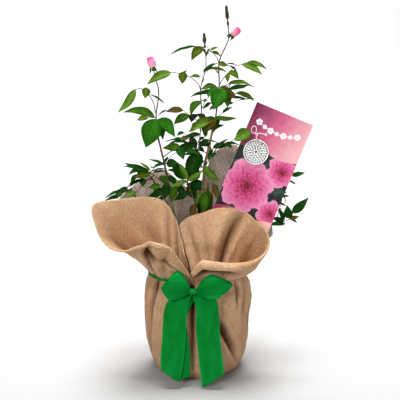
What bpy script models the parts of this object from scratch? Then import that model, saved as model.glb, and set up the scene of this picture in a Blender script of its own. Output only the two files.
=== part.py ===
"""A young rose bush in its pot, wrapped in a square of burlap and tied with a ribbon bow.

Metres, +Z up. The origin is the middle of the wrap's flat underside, and -Y is the side with the bow.
A compass angle is in degrees round from +X, and a lean is in degrees from straight up.
"""

import math
import random

import bmesh
import bpy
from mathutils import Matrix, Vector
from mathutils.bvhtree import BVHTree

GAP = 0.0003  # clearance between pieces that touch

# Pot and compost
POT_FOOT_R = 0.058
POT_TOP_R = 0.076
POT_RIM_R = 0.079
POT_WALL = 0.0025
POT_FOOT_Z = 0.0033
POT_TOP_Z = 0.168
RIM_DROP = 0.012
COMPOST_DROP = 0.010  # compost level below the pot's rim

# Burlap wrap
BURLAP = 0.003  # cloth with its loose fibres
BASE_R = 0.070
TIE_R = 0.0865
TIE_Z = 0.184
BELLY = ((0.0, 0.0), (0.045, 0.0), (0.070, 0.0), (0.0815, 0.008), (0.091, 0.032), (0.0965, 0.066),
         (0.0985, 0.104), (0.099, 0.136), (0.096, 0.162), (0.0905, 0.177), (TIE_R, TIE_Z))
WRAP_SEGMENTS = 48

# Ribbon
RIBBON = 0.0012
RIBBON_WIDTH = 0.041
BAND_R = 0.0021  # the ribbon gathered into a cord where it goes round the tie
KNOT = Vector((-0.0065, -0.108, 0.1738))
KNOT_HALF = (0.0070, 0.0066, 0.0076)

# Label card and charm
CARD_WIDTH = 0.111
CARD_LENGTH = 0.238
CARD_THICK = 0.0012
CARD_TILT = 22.5
CARD_LEAN_BACK = 5.0
CARD_TOP = Vector((0.160, 0.000, 0.4765))  # middle of its upper edge
TONGUE_WIDTH = 0.024
TONGUE_LENGTH = 0.1076
CHARM_R = 0.0232
CHARM_THICK = 0.0022
CHARM_AT = Vector((0.107, -0.0125, 0.408))
CHARM_HOLE_R = 0.0019
CHARM_HOLE_IN = 0.0042  # from the charm's rim to the middle of its hole
CHARM_RIBBON_R = 0.0010
CARD_HOLE = Vector((-0.0178, 0.0, -0.0485))  # from the middle of the card's upper edge, in its own axes
CARD_HOLE_R = 0.0022

# Rose
KNUCKLE_R = 0.013
KNUCKLE_HEIGHT = 0.020
COMPOST_Z = POT_TOP_Z - COMPOST_DROP
KNUCKLE_Z = COMPOST_Z + GAP + KNUCKLE_HEIGHT
LEAF_THICK = 0.026  # middle thickness of a leaflet, as a share of its length
PETIOLE_R = 0.0009


def clear_scene():
    for old in list(bpy.data.objects):
        bpy.data.objects.remove(old)


def new_collection(name):
    made = bpy.data.collections.new(name)
    bpy.context.scene.collection.children.link(made)
    return made


def material(name, color, roughness, metallic=0.0):
    made = bpy.data.materials.new(name)
    made.use_nodes = True
    shader = made.node_tree.nodes["Principled BSDF"]
    shader.inputs["Base Color"].default_value = (*color, 1.0)
    shader.inputs["Roughness"].default_value = roughness
    shader.inputs["Metallic"].default_value = metallic
    return made


def object_of(name, mesh, finish, collection):
    made = bpy.data.objects.new(name, mesh)
    mesh.materials.clear()
    mesh.materials.append(finish)
    collection.objects.link(made)
    return made


def mesh_from(name, build):
    """A mesh made by build(bm), a function that works on an empty bmesh."""
    bm = bmesh.new()
    build(bm)
    mesh = bpy.data.meshes.new(name)
    bm.to_mesh(mesh)
    bm.free()
    return mesh


def as_mesh(obj, collection):
    """Replaces a curve object by a mesh object with its caps welded."""
    bpy.context.view_layer.update()
    mesh = bpy.data.meshes.new_from_object(obj.evaluated_get(bpy.context.evaluated_depsgraph_get()))
    bm = bmesh.new()
    bm.from_mesh(mesh)
    bmesh.ops.remove_doubles(bm, verts=bm.verts, dist=0.00001)
    bm.to_mesh(mesh)
    bm.free()
    name, place = obj.name, obj.matrix_world.copy()
    bpy.data.objects.remove(obj)
    made = bpy.data.objects.new(name, mesh)
    made.matrix_world = place
    collection.objects.link(made)
    return made


def smooth(obj, angle=40):
    obj.data.shade_smooth()
    obj.data.set_sharp_from_angle(angle=math.radians(angle))


def tube(name, points, radius, finish, collection, shares=None):
    """A round tube with flat ends through these points. shares scale its radius at each of them."""
    curve = bpy.data.curves.new(name, "CURVE")
    curve.dimensions = "3D"
    curve.bevel_depth = radius
    curve.bevel_resolution = 1
    curve.use_fill_caps = True
    line = curve.splines.new("POLY")
    line.points.add(len(points) - 1)
    for i, (point, at) in enumerate(zip(line.points, points)):
        point.co = (*at, 1)
        point.radius = shares[i] if shares else 1.0
    obj = bpy.data.objects.new(name, curve)
    curve.materials.append(finish)
    collection.objects.link(obj)
    return obj


def mix(ends, share):
    return ends[0] + (ends[1] - ends[0]) * share


def heading(compass, lean):
    """The unit vector with this compass angle and lean."""
    c, a = math.radians(compass), math.radians(lean)
    return Vector((math.sin(a) * math.cos(c), math.sin(a) * math.sin(c), math.cos(a)))


# Pot, compost and knuckle: turned shapes


def turned(name, profile, finish, collection, steps=32):
    """A solid of revolution. The profile runs from the axis or the top down its outer side."""

    def build(bm):
        ring = [bm.verts.new((r, 0, z)) for r, z in profile]
        for a, b in zip(ring, ring[1:]):
            bm.edges.new((a, b))

    obj = object_of(name, mesh_from(name, build), finish, collection)
    screw = obj.modifiers.new("turn", "SCREW")
    screw.steps = screw.render_steps = steps
    screw.use_merge_vertices = True
    screw.merge_threshold = 0.00005
    screw.use_smooth_shade = True
    return obj


def pot(finish, collection):
    inner_top = POT_RIM_R - 2 * POT_WALL
    inner_foot = POT_FOOT_R - POT_WALL
    profile = [
        (0, POT_FOOT_Z + POT_WALL), (inner_foot, POT_FOOT_Z + POT_WALL), (inner_top, POT_TOP_Z),
        (POT_RIM_R, POT_TOP_Z), (POT_RIM_R, POT_TOP_Z - RIM_DROP),
        (POT_TOP_R, POT_TOP_Z - RIM_DROP - 0.002),
        (POT_FOOT_R, POT_FOOT_Z), (0, POT_FOOT_Z),
    ]
    return turned("pot", profile, finish, collection)


def compost(finish, collection):
    """The compost fills the pot to just under its rim."""
    foot = POT_FOOT_Z + POT_WALL + GAP
    inner_foot = POT_FOOT_R - POT_WALL - 0.001
    inner_top = POT_RIM_R - 2 * POT_WALL - 0.0018
    profile = [(0, COMPOST_Z), (inner_top, COMPOST_Z), (inner_foot, foot), (0, foot)]
    return turned("compost", profile, finish, collection)


def knuckle(finish, collection):
    """The swollen graft at the foot of the bush, with its flare into the compost."""
    foot = COMPOST_Z + GAP
    profile = [(0, KNUCKLE_Z), (0.8 * KNUCKLE_R, KNUCKLE_Z), (KNUCKLE_R, KNUCKLE_Z - 0.004),
               (0.95 * KNUCKLE_R, foot + 0.007), (1.2 * KNUCKLE_R, foot), (0, foot)]
    return turned("graft_knuckle", profile, finish, collection, steps=16)


# Burlap wrap

# A crease is (compass where it meets the tie, compass it drifts by on its way down, depth, half width in
# degrees, share of the height where it is deepest).
CREASES = (
    (-92, 2, 0.0120, 7, 0.72), (-140, -8, 0.0060, 6, 0.70), (-157, 4, 0.0095, 6, 0.62),
    (-172, 10, 0.0070, 7, 0.30), (-118, -3, 0.0050, 7, 0.35), (-62, 4, 0.0060, 6, 0.80),
    (-58, 22, 0.0105, 6, 0.36), (-24, -6, 0.0075, 7, 0.78), (-8, 4, 0.0060, 8, 0.45),
    (14, 6, 0.0095, 7, 0.65), (38, -8, 0.0070, 7, 0.50), (60, 5, 0.0090, 6, 0.70),
    (84, -4, 0.0070, 7, 0.55), (106, 8, 0.0095, 7, 0.62), (131, -6, 0.0080, 7, 0.70),
    (158, 5, 0.0085, 7, 0.50),
)


def crease_depth(compass, share):
    """How far the creases draw the cloth in at this compass angle and share of the height."""
    total = 0.0
    for at, drift, depth, width, deepest in CREASES:
        off = (compass - at - drift * (1 - share) + 180) % 360 - 180
        along = math.exp(-(((share - deepest) / 0.34) ** 2))
        total += depth * along * math.exp(-((off / width) ** 2))
    return total


def belly_point(compass, row):
    """A point of the wrap's outer face on this row of its profile."""
    r, z = BELLY[row]
    share = z / TIE_Z
    swell = 0.0022 * math.sin(math.radians(3 * compass + 40)) * math.sin(math.pi * share)
    r += swell - crease_depth(compass, share) * min(1.0, 6 * share, 0.2 + 6 * (1 - share))
    c = math.radians(compass)
    return Vector((r * math.cos(c), r * math.sin(c), z))


def wrap_body(finish, collection):
    """The burlap round the pot, from its flat underside up to the tie."""

    def build(bm):
        middle = bm.verts.new((0, 0, 0))
        rings = [
            [bm.verts.new(belly_point(360 * i / WRAP_SEGMENTS, row)) for i in range(WRAP_SEGMENTS)]
            for row in range(1, len(BELLY))
        ]
        for i in range(WRAP_SEGMENTS):
            j = (i + 1) % WRAP_SEGMENTS
            bm.faces.new((middle, rings[0][j], rings[0][i]))
            for low, high in zip(rings, rings[1:]):
                bm.faces.new((low[i], low[j], high[j], high[i]))

    obj = object_of("wrap_body", mesh_from("wrap_body", build), finish, collection)
    thicken(obj, BURLAP, -1)
    smooth(obj)
    return obj


def thicken(obj, thickness, offset):
    shell = obj.modifiers.new("cloth", "SOLIDIFY")
    shell.thickness = thickness
    shell.offset = offset
    return shell


# Each line of a flap is one run of cloth from the tie to the hem: (compass at the tie, radius of its layer of
# cloth there, the hem's x, y and z, lean as it leaves the tie).
OUT_R, IN_R, INMOST_R, TIED_Z = 0.0850, 0.0796, 0.0748, 0.1853
FLAP_LEFT = (
    (-98, OUT_R, (-0.017, -0.103, 0.206), 30), (-109, OUT_R, (-0.029, -0.110, 0.230), 38),
    (-122, OUT_R, (-0.047, -0.120, 0.254), 44), (-136, OUT_R, (-0.070, -0.126, 0.265), 44),
    (-151, OUT_R, (-0.098, -0.122, 0.260), 40), (-165, OUT_R, (-0.127, -0.112, 0.248), 44),
    (-177, OUT_R, (-0.156, -0.101, 0.254), 42), (-176, IN_R, (-0.176, -0.093, 0.284), 36),
    (-164, IN_R, (-0.183, -0.080, 0.328), 22), (-153, IN_R, (-0.138, -0.054, 0.337), 12),
    (-142, IN_R, (-0.086, -0.040, 0.341), 4), (-131, IN_R, (-0.058, -0.042, 0.330), 2),
    (-120, IN_R, (-0.042, -0.050, 0.305), 2), (-109, IN_R, (-0.032, -0.063, 0.270), 4),
    (-99, IN_R, (-0.022, -0.078, 0.228), 6),
)
FLAP_RIGHT = (
    (-84, OUT_R, (-0.004, -0.103, 0.216), 26), (-73, OUT_R, (0.011, -0.112, 0.235), 34),
    (-58, OUT_R, (0.038, -0.122, 0.237), 42), (-42, OUT_R, (0.077, -0.116, 0.233), 44),
    (-28, OUT_R, (0.101, -0.104, 0.230), 40), (-14, OUT_R, (0.119, -0.090, 0.238), 34),
    (-4, OUT_R, (0.128, -0.072, 0.254), 30), (-9, IN_R, (0.123, -0.060, 0.270), 24),
    (-19, IN_R, (0.110, -0.054, 0.283), 16), (-30, IN_R, (0.096, -0.052, 0.297), 10),
    (-41, IN_R, (0.079, -0.050, 0.305), 6), (-51, IN_R, (0.057, -0.052, 0.311), 6),
    (-61, IN_R, (0.032, -0.052, 0.310), 4), (-69, IN_R, (0.010, -0.050, 0.302), 2),
    (-78, IN_R, (-0.009, -0.047, 0.296), 0), (-87, INMOST_R, (-0.025, -0.044, 0.286), 0),
    (-97, INMOST_R, (-0.038, -0.044, 0.267), 0),
)
FLAP_BACK = (
    (4, OUT_R, (0.140, 0.004, 0.250), 40), (13, OUT_R, (0.138, 0.020, 0.274), 42),
    (26, OUT_R, (0.125, 0.050, 0.320), 36), (42, OUT_R, (0.096, 0.082, 0.384), 28),
    (58, OUT_R, (0.072, 0.092, 0.411), 22), (73, OUT_R, (0.033, 0.100, 0.395), 18),
    (86, OUT_R, (0.016, 0.102, 0.348), 18), (98, OUT_R, (-0.001, 0.102, 0.310), 18),
    (110, OUT_R, (-0.022, 0.102, 0.306), 18), (122, OUT_R, (-0.043, 0.102, 0.345), 20),
    (134, OUT_R, (-0.064, 0.098, 0.363), 24), (146, OUT_R, (-0.102, 0.083, 0.357), 30),
    (158, OUT_R, (-0.136, 0.062, 0.343), 38), (168, OUT_R, (-0.160, 0.040, 0.331), 42),
    (176, OUT_R, (-0.173, 0.020, 0.305), 44),
)
FLAP_ROWS = 4


def cloth_run(compass, radius, hem, lean):
    """The points of one run of cloth."""
    c = math.radians(compass)
    foot, hem = Vector((radius * math.cos(c), radius * math.sin(c), TIED_Z)), Vector(hem)
    middle = foot + heading(compass, lean) * (0.45 * (hem - foot).length)
    rows = [i / (FLAP_ROWS - 1) for i in range(FLAP_ROWS)]
    return [foot.lerp(middle, t).lerp(middle.lerp(hem, t), t) for t in rows]


def flap(name, runs, finish, collection):
    """One flaring flap of burlap above the tie, from a coarse cage."""

    def build(bm):
        columns = [[bm.verts.new(p) for p in cloth_run(*run)] for run in runs]
        for left, right in zip(columns, columns[1:]):
            for i in range(FLAP_ROWS - 1):
                bm.faces.new((left[i], right[i], right[i + 1], left[i + 1]))

    obj = object_of(name, mesh_from(name, build), finish, collection)
    soft = obj.modifiers.new("soft", "SUBSURF")
    soft.levels = soft.render_levels = 1
    soft.boundary_smooth = "PRESERVE_CORNERS"
    thicken(obj, BURLAP, 0)
    smooth(obj)
    return obj


# Ribbon: band, knot, loops and tails


def ribbon_band(finish, collection):
    """The gathered ribbon round the tie, from one side of the knot round to the other."""
    around = [math.radians(-78 + 336 * i / 30) for i in range(31)]
    r, z = TIE_R + 0.0034, TIE_Z - 0.0005
    route = [Vector((r * math.cos(c), r * math.sin(c), z)) for c in around]
    behind = Vector((0, 0.0064, -0.0005))
    beside = Vector((0.0068, 0, 0))
    route = [KNOT + behind + beside, *route, KNOT + behind - beside]
    return tube("ribbon_band", route, BAND_R, finish, collection)


def strip(name, lines, finish, collection, thickness=RIBBON):
    """A solid strip of ribbon through pairs of edge points."""

    def build(bm):
        rows = [[bm.verts.new(p) for p in line] for line in lines]
        for low, high in zip(rows, rows[1:]):
            for i in range(len(low) - 1):
                bm.faces.new((low[i], low[i + 1], high[i + 1], high[i]))

    obj = object_of(name, mesh_from(name, build), finish, collection)
    thicken(obj, thickness, 0)
    smooth(obj)
    return obj


def bow_loop(name, side, reach, rise, finish, collection):
    """One loop of the bow: the ribbon goes out from the knot, turns, and comes back behind itself."""
    stations = 16
    lines = []
    for i in range(stations + 1):
        turn = math.pi * 2 * i / stations
        out = 0.5 * (1 - math.cos(turn))
        across = 0.0105 * math.sin(turn) * (0.35 + 0.65 * out)
        half = 0.5 * RIBBON_WIDTH * (0.16 + 0.90 * math.sin(0.5 * math.pi * out) ** 0.8)
        x = KNOT.x + side * (0.0052 + reach * out)
        y = KNOT.y - 0.0008 - across - 0.008 * out
        z = KNOT.z + rise * out - 0.004 * out * math.sin(turn)
        tip = side * 0.0065 * out
        lines.append([Vector((x - tip, y - 0.001, z + half)), Vector((x + tip, y - 0.002, z)),
                      Vector((x - tip, y + 0.001, z - half))])
    lines = lines[1:-1]
    return strip(name, lines, finish, collection)


# Runs of the tails from the knot down. Each is (centre x, y, z, half width, how far the left corner hangs
# below the right one).
TAIL_LEFT = (
    (-0.0125, -0.1020, 0.1652, 0.0050, 0.000), (-0.0250, -0.1035, 0.1600, 0.0130, 0.000),
    (-0.0345, -0.1075, 0.1500, 0.0185, 0.000), (-0.0375, -0.1115, 0.1360, 0.0205, 0.000),
    (-0.0390, -0.1145, 0.1130, 0.0208, 0.000), (-0.0405, -0.1165, 0.0880, 0.0208, 0.000),
    (-0.0425, -0.1175, 0.0620, 0.0206, -0.005), (-0.0445, -0.1195, 0.0380, 0.0196, -0.013),
    (-0.0465, -0.1225, 0.0126, 0.0170, -0.0213),
)
TAIL_RIGHT = (
    (-0.0002, -0.1020, 0.1652, 0.0050, 0.000), (0.0090, -0.1035, 0.1600, 0.0125, 0.000),
    (0.0160, -0.1075, 0.1500, 0.0175, 0.000), (0.0186, -0.1115, 0.1360, 0.0200, 0.000),
    (0.0190, -0.1145, 0.1130, 0.0208, 0.000), (0.0205, -0.1165, 0.0880, 0.0208, 0.000),
    (0.0235, -0.1185, 0.0640, 0.0208, 0.006), (0.0262, -0.1215, 0.0460, 0.0202, 0.017),
    (0.0284, -0.1250, 0.0290, 0.0194, 0.0270),
)
TAIL_UNDER = (
    (-0.0060, -0.0985, 0.1642, 0.0035, 0.000), (-0.0085, -0.0975, 0.1560, 0.0055, 0.000),
    (-0.0200, -0.1040, 0.1440, 0.0090, 0.000), (-0.0285, -0.1075, 0.1280, 0.0110, 0.000),
    (-0.0300, -0.1090, 0.1080, 0.0125, 0.000), (-0.0285, -0.1100, 0.0860, 0.0140, 0.000),
    (-0.0275, -0.1100, 0.0620, 0.0155, 0.000), (-0.0275, -0.1105, 0.0400, 0.0160, 0.002),
    (-0.0280, -0.1115, 0.0180, 0.0160, 0.006),
)


def tail(name, runs, finish, collection):
    """A ribbon tail that falls from the knot, cut on the slant."""
    lines = []
    for x, y, z, half, slant in runs:
        lines.append([Vector((x - half, y + 0.0010, z - slant)), Vector((x, y - 0.0016, z - 0.5 * slant)),
                      Vector((x + half, y + 0.0010, z))])
    return strip(name, lines, finish, collection)


def knot(finish, collection):
    def build(bm):
        bmesh.ops.create_uvsphere(bm, u_segments=12, v_segments=8, radius=1.0)
        bmesh.ops.scale(bm, vec=KNOT_HALF, verts=bm.verts)
        bmesh.ops.translate(bm, vec=KNOT, verts=bm.verts)

    obj = object_of("bow_knot", mesh_from("bow_knot", build), finish, collection)
    smooth(obj)
    return obj


# Label card and charm


def card_frame():
    """The card's own axes: X across, Y through to the back, Z up it, from the middle of its top edge."""
    tilt = Matrix.Rotation(math.radians(CARD_TILT), 4, "Y")
    lean = Matrix.Rotation(math.radians(-CARD_LEAN_BACK), 4, "X")
    return Matrix.Translation(CARD_TOP) @ tilt @ lean


def cut(obj, cutter):
    """Cuts a helper shape out of obj. The helper stays, hidden from renders."""
    cutter.hide_render = True
    cutter.display_type = "WIRE"
    boolean = obj.modifiers.new("cut_" + cutter.name, "BOOLEAN")
    boolean.operation = "DIFFERENCE"
    boolean.object = cutter


def cylinder(name, radius, depth, place, finish, collection, segments=32):
    """A closed cylinder along Y."""

    def build(bm):
        bmesh.ops.create_cone(bm, cap_ends=True, segments=segments, radius1=radius, radius2=radius,
                              depth=depth)
        bmesh.ops.rotate(bm, matrix=Matrix.Rotation(math.radians(90), 3, "X"), verts=bm.verts)

    obj = object_of(name, mesh_from(name, build), finish, collection)
    obj.matrix_world = place
    return obj


def label_card(finish, collection):
    """A stiff card with the tongue that stands on the compost, and the hole its charm is tied through."""
    half, neck = 0.5 * CARD_WIDTH, 0.5 * TONGUE_WIDTH
    foot = -CARD_LENGTH - TONGUE_LENGTH
    outline = [(-half, 0), (half, 0), (half, -CARD_LENGTH), (neck, -CARD_LENGTH), (neck, foot + 0.012),
               (0, foot), (-neck, foot + 0.012), (-neck, -CARD_LENGTH), (-half, -CARD_LENGTH)]
    around = [math.tau * i / 12 for i in range(12)]
    hole = [CARD_HOLE + CARD_HOLE_R * Vector((math.cos(a), 0, math.sin(a))) for a in around]
    hole = [(point.x, point.z) for point in hole]
    curve = bpy.data.curves.new("label_card", "CURVE")
    curve.dimensions = "2D"
    curve.fill_mode = "BOTH"
    curve.extrude = 0.5 * CARD_THICK
    for loop in (outline, hole):
        line = curve.splines.new("POLY")
        line.use_cyclic_u = True
        line.points.add(len(loop) - 1)
        for point, (x, z) in zip(line.points, loop):
            point.co = (x, z, 0, 1)
    obj = bpy.data.objects.new("label_card", curve)
    curve.materials.append(finish)
    collection.objects.link(obj)
    obj.matrix_world = card_frame() @ Matrix.Rotation(math.radians(90), 4, "X")
    return obj


def charm(finish, collection, cutters):
    """The round metal charm, with the hole that its ribbon passes through."""
    turn = card_frame().to_3x3().to_4x4()
    place = Matrix.Translation(CHARM_AT) @ turn
    disc = cylinder("charm_disc", CHARM_R, CHARM_THICK, place, finish, collection, 40)
    hole_at = CHARM_AT + Vector((0, 0, CHARM_R - CHARM_HOLE_IN))
    place = Matrix.Translation(hole_at) @ turn
    cut(disc, cylinder("charm_hole", CHARM_HOLE_R, 0.01, place, finish, cutters, 12))
    smooth(disc)
    return disc


def charm_ribbon(finish, collection):
    """The thin ribbon of the charm: through its hole, round one open loop, out through the card's hole."""
    through = card_frame().to_3x3() @ Vector((0, 1, 0))
    ring = CHARM_AT + Vector((0, 0, CHARM_R - CHARM_HOLE_IN))
    card_hole = card_frame() @ CARD_HOLE
    tie = ring + Vector((0.001, -0.0030, 0.0118))
    route = [ring + 0.0027 * through, ring - 0.0033 * through, ring + Vector((0, -0.0036, 0.006)), tie]
    middle = tie + Vector((-0.0052, 0.0, 0.0098))
    turns = 10
    for i in range(turns + 1):
        a = math.radians(-70 + 320 * i / turns)
        route.append(middle + Vector((0.0046 * math.cos(a), 0.0006 * i / turns, 0.0066 * math.sin(a))))
    route += [tie + Vector((0.004, 0.0028, 0.003)), tie + Vector((0.010, 0.0030, 0.002)),
              card_hole - 0.0040 * through, card_hole + 0.0035 * through]
    return tube("charm_ribbon", route, CHARM_RIBBON_R, finish, collection)


# Canes


def curved(waypoints, steps):
    """Points along a smooth curve through a few waypoints, with as many steps in each stretch."""
    ends = [2 * waypoints[0] - waypoints[1], *waypoints, 2 * waypoints[-1] - waypoints[-2]]
    points = []
    for a, b, c, d in zip(ends, ends[1:], ends[2:], ends[3:]):
        for i in range(steps):
            t = i / steps
            points.append(0.5 * (2 * b + (c - a) * t + (2 * a - 5 * b + 4 * c - d) * t * t
                                 + (3 * b - a - 3 * c + d) * t ** 3))
    return [*points, waypoints[-1]]


def limb(name, waypoints, foot_r, tip_r, finish, collection, steps=3):
    """A tapering round limb along a curve."""
    points = curved([Vector(p) for p in waypoints], steps)
    shares = [mix((1.0, tip_r / foot_r), i / (len(points) - 1)) for i in range(len(points))]
    return tube(name, points, foot_r, finish, collection, shares)


# Leaves and buds, each grown as a closed piece that a mass joins into one


def blade_axes(along, hint=Vector((0, -0.12, 1))):
    """Side, face and length axes of a leaf that grows this way, with its face as near up as it can be."""
    along = along.normalized()
    face = (hint - along * hint.dot(along)).normalized()
    return Matrix((face.cross(along), face, along)).transposed()


def leaflet(bm, root, axes, length, width, curl):
    """A thin pointed blade, folded a little along its middle, that bends back towards its tip."""
    made = bmesh.ops.create_uvsphere(bm, u_segments=4, v_segments=3, radius=1.0)["verts"]
    for vert in made:
        x, y, z = vert.co
        along = (0.5 + 0.5 * z) ** 1.1
        fold = 0.16 * abs(x) * width
        bend = -curl * along * along * length
        through = 0.5 * LEAF_THICK * length * y + fold + bend
        vert.co = root + axes @ Vector((0.5 * width * x, through, along * length))


def twig(bm, low, high, low_r, high_r):
    """A straight three-sided twig."""
    span = high - low
    turn = span.to_track_quat("Z", "Y").to_matrix().to_4x4()
    place = Matrix.Translation((low + high) / 2) @ turn
    bmesh.ops.create_cone(bm, cap_ends=True, segments=3, radius1=low_r, radius2=high_r, depth=span.length,
                          matrix=place)


def leaf_pieces(root, row, rng):
    """The stalk and blades of one compound leaf, each as (kind, sizes).

    A row is (share of the stem, compass and rise of the stalk, its length in mm, length of the end blade in
    mm, rise of the blades, roll of the blades about the stalk, which blades it has). The blades are t at the
    tip, l and r in a pair behind it, and L and R in a second pair.
    """
    _, compass, rise, stalk, blade, blade_rise, roll, which = row
    blade, stalk = blade / 1000, stalk / 1000
    way = heading(compass, 90 - rise)
    tip = root + way * stalk
    axes = blade_axes(heading(compass, 90 - blade_rise)) @ Matrix.Rotation(math.radians(roll), 3, "Z")
    pieces = [("twig", root - way * SUNK, tip + way * 0.0006)]
    for name in "tlrLR":
        size = blade * BLADE_SIZE[name] * rng.uniform(0.94, 1.06)
        spread, pitch = rng.uniform(54, 70), rng.uniform(0, 10)
        if name not in which:
            continue
        at = root.lerp(tip, BLADE_AT[name])
        side = {"t": 0, "l": -1, "r": 1}[name.lower()]
        turned_axes = axes @ Matrix.Rotation(math.radians(side * spread), 3, "Y")
        turned_axes = turned_axes @ Matrix.Rotation(math.radians(pitch), 3, "X")
        width = size * rng.uniform(0.50, 0.60)
        curl = rng.uniform(0.08, 0.22)
        pieces.append(("blade", at - turned_axes.col[2] * SUNK, turned_axes, size, width, curl))
    return pieces


def along_points(points, share):
    """The point at this share of the way along a polyline of equal steps."""
    at = share * (len(points) - 1)
    i = min(int(at), len(points) - 2)
    return points[i].lerp(points[i + 1], at - i)


def bud(bm, foot, along, length, radius, point):
    """A bud: an egg on its stem, drawn out to a point when closed."""
    made = bmesh.ops.create_uvsphere(bm, u_segments=6, v_segments=5, radius=1.0)["verts"]
    turn = along.to_track_quat("Z", "Y").to_matrix()
    for vert in made:
        x, y, z = vert.co
        s = 0.5 + 0.5 * z
        slim = 1 - point * s
        vert.co = foot + turn @ Vector((x * radius * slim, y * radius * slim, s * length))


def sepals(foot, along, length, spread, count=3):
    """The green leaves under a bud."""
    turn = along.to_track_quat("Z", "Y").to_matrix()
    pieces = []
    for i in range(count):
        c = math.tau * (i + 0.35) / count
        out = turn @ Vector((math.cos(c), math.sin(c), 0))
        way = (along * math.cos(spread) + out * math.sin(spread)).normalized()
        pieces.append(("blade", foot - way * 0.001, blade_axes(way, along), length, length * 0.34, 0.12))
    return pieces


SUNK = 0.0016  # how deep a root goes into what it grows from
CLEARANCE = 0.0007  # how much fatter a piece is made to test what it meets
BLADE_SIZE = {"t": 1.0, "l": 0.84, "r": 0.84, "L": 0.66, "R": 0.66}
BLADE_AT = {"t": 1.0, "l": 0.88, "r": 0.88, "L": 0.52, "R": 0.52}

# Each bough is (foot radius, tip radius, waypoints) in metres.
CANE_FOOT_Z = KNUCKLE_Z + 0.0007
BOUGHS = {
    "cane_left": (0.0030, 0.0016, (
        (-0.0062, -0.0030, CANE_FOOT_Z + 0.0009), (-0.021, -0.014, 0.224), (-0.037, -0.020, 0.272),
        (-0.056, -0.020, 0.374), (-0.070, -0.020, 0.436),
    )),
    "cane_right": (0.0038, 0.0020, (
        (0.0022, 0.0052, CANE_FOOT_Z + 0.0001), (0.011, 0.006, 0.250), (0.015, 0.002, 0.334),
        (0.0125, 0.000, 0.370), (0.018, 0.000, 0.400), (0.034, 0.000, 0.470),
    )),
    "cane_green": (0.0026, 0.0017, (
        (0.0066, -0.0040, CANE_FOOT_Z + 0.0002), (0.019, -0.006, 0.250), (0.023, -0.008, 0.312),
    )),
    "cane_middle": (0.0022, 0.0014, (
        (-0.0010, -0.0154, 0.170), (0.001, -0.022, 0.225), (0.000, -0.021, 0.306),
    )),
    "cane_centre": (0.0019, 0.0015, (
        (0.0086, -0.0029, 0.378), (0.0030, -0.009, 0.405), (0.0055, -0.010, 0.436),
    )),
    "cane_low_left": (0.0026, 0.0018, (
        (-0.0147, 0.0037, 0.171), (-0.040, 0.012, 0.225), (-0.068, 0.012, 0.330),
    )),
    "cane_outer_left": (0.0024, 0.0016, (
        (-0.0108, 0.0101, 0.169), (-0.050, 0.024, 0.215), (-0.098, 0.022, 0.298),
    )),
    "cane_low_right": (0.0026, 0.0016, (
        (0.0149, -0.0009, 0.170), (0.056, 0.008, 0.205), (0.120, 0.014, 0.275),
    )),
    "cane_side_right": (0.0026, 0.0016, (
        (0.0136, 0.0063, 0.170), (0.070, 0.022, 0.235), (0.145, 0.022, 0.330),
    )),
    "cane_back": (0.0028, 0.0018, (
        (0.0027, 0.0151, 0.170), (0.006, 0.040, 0.240), (-0.006, 0.046, 0.370),
    )),
}

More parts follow.
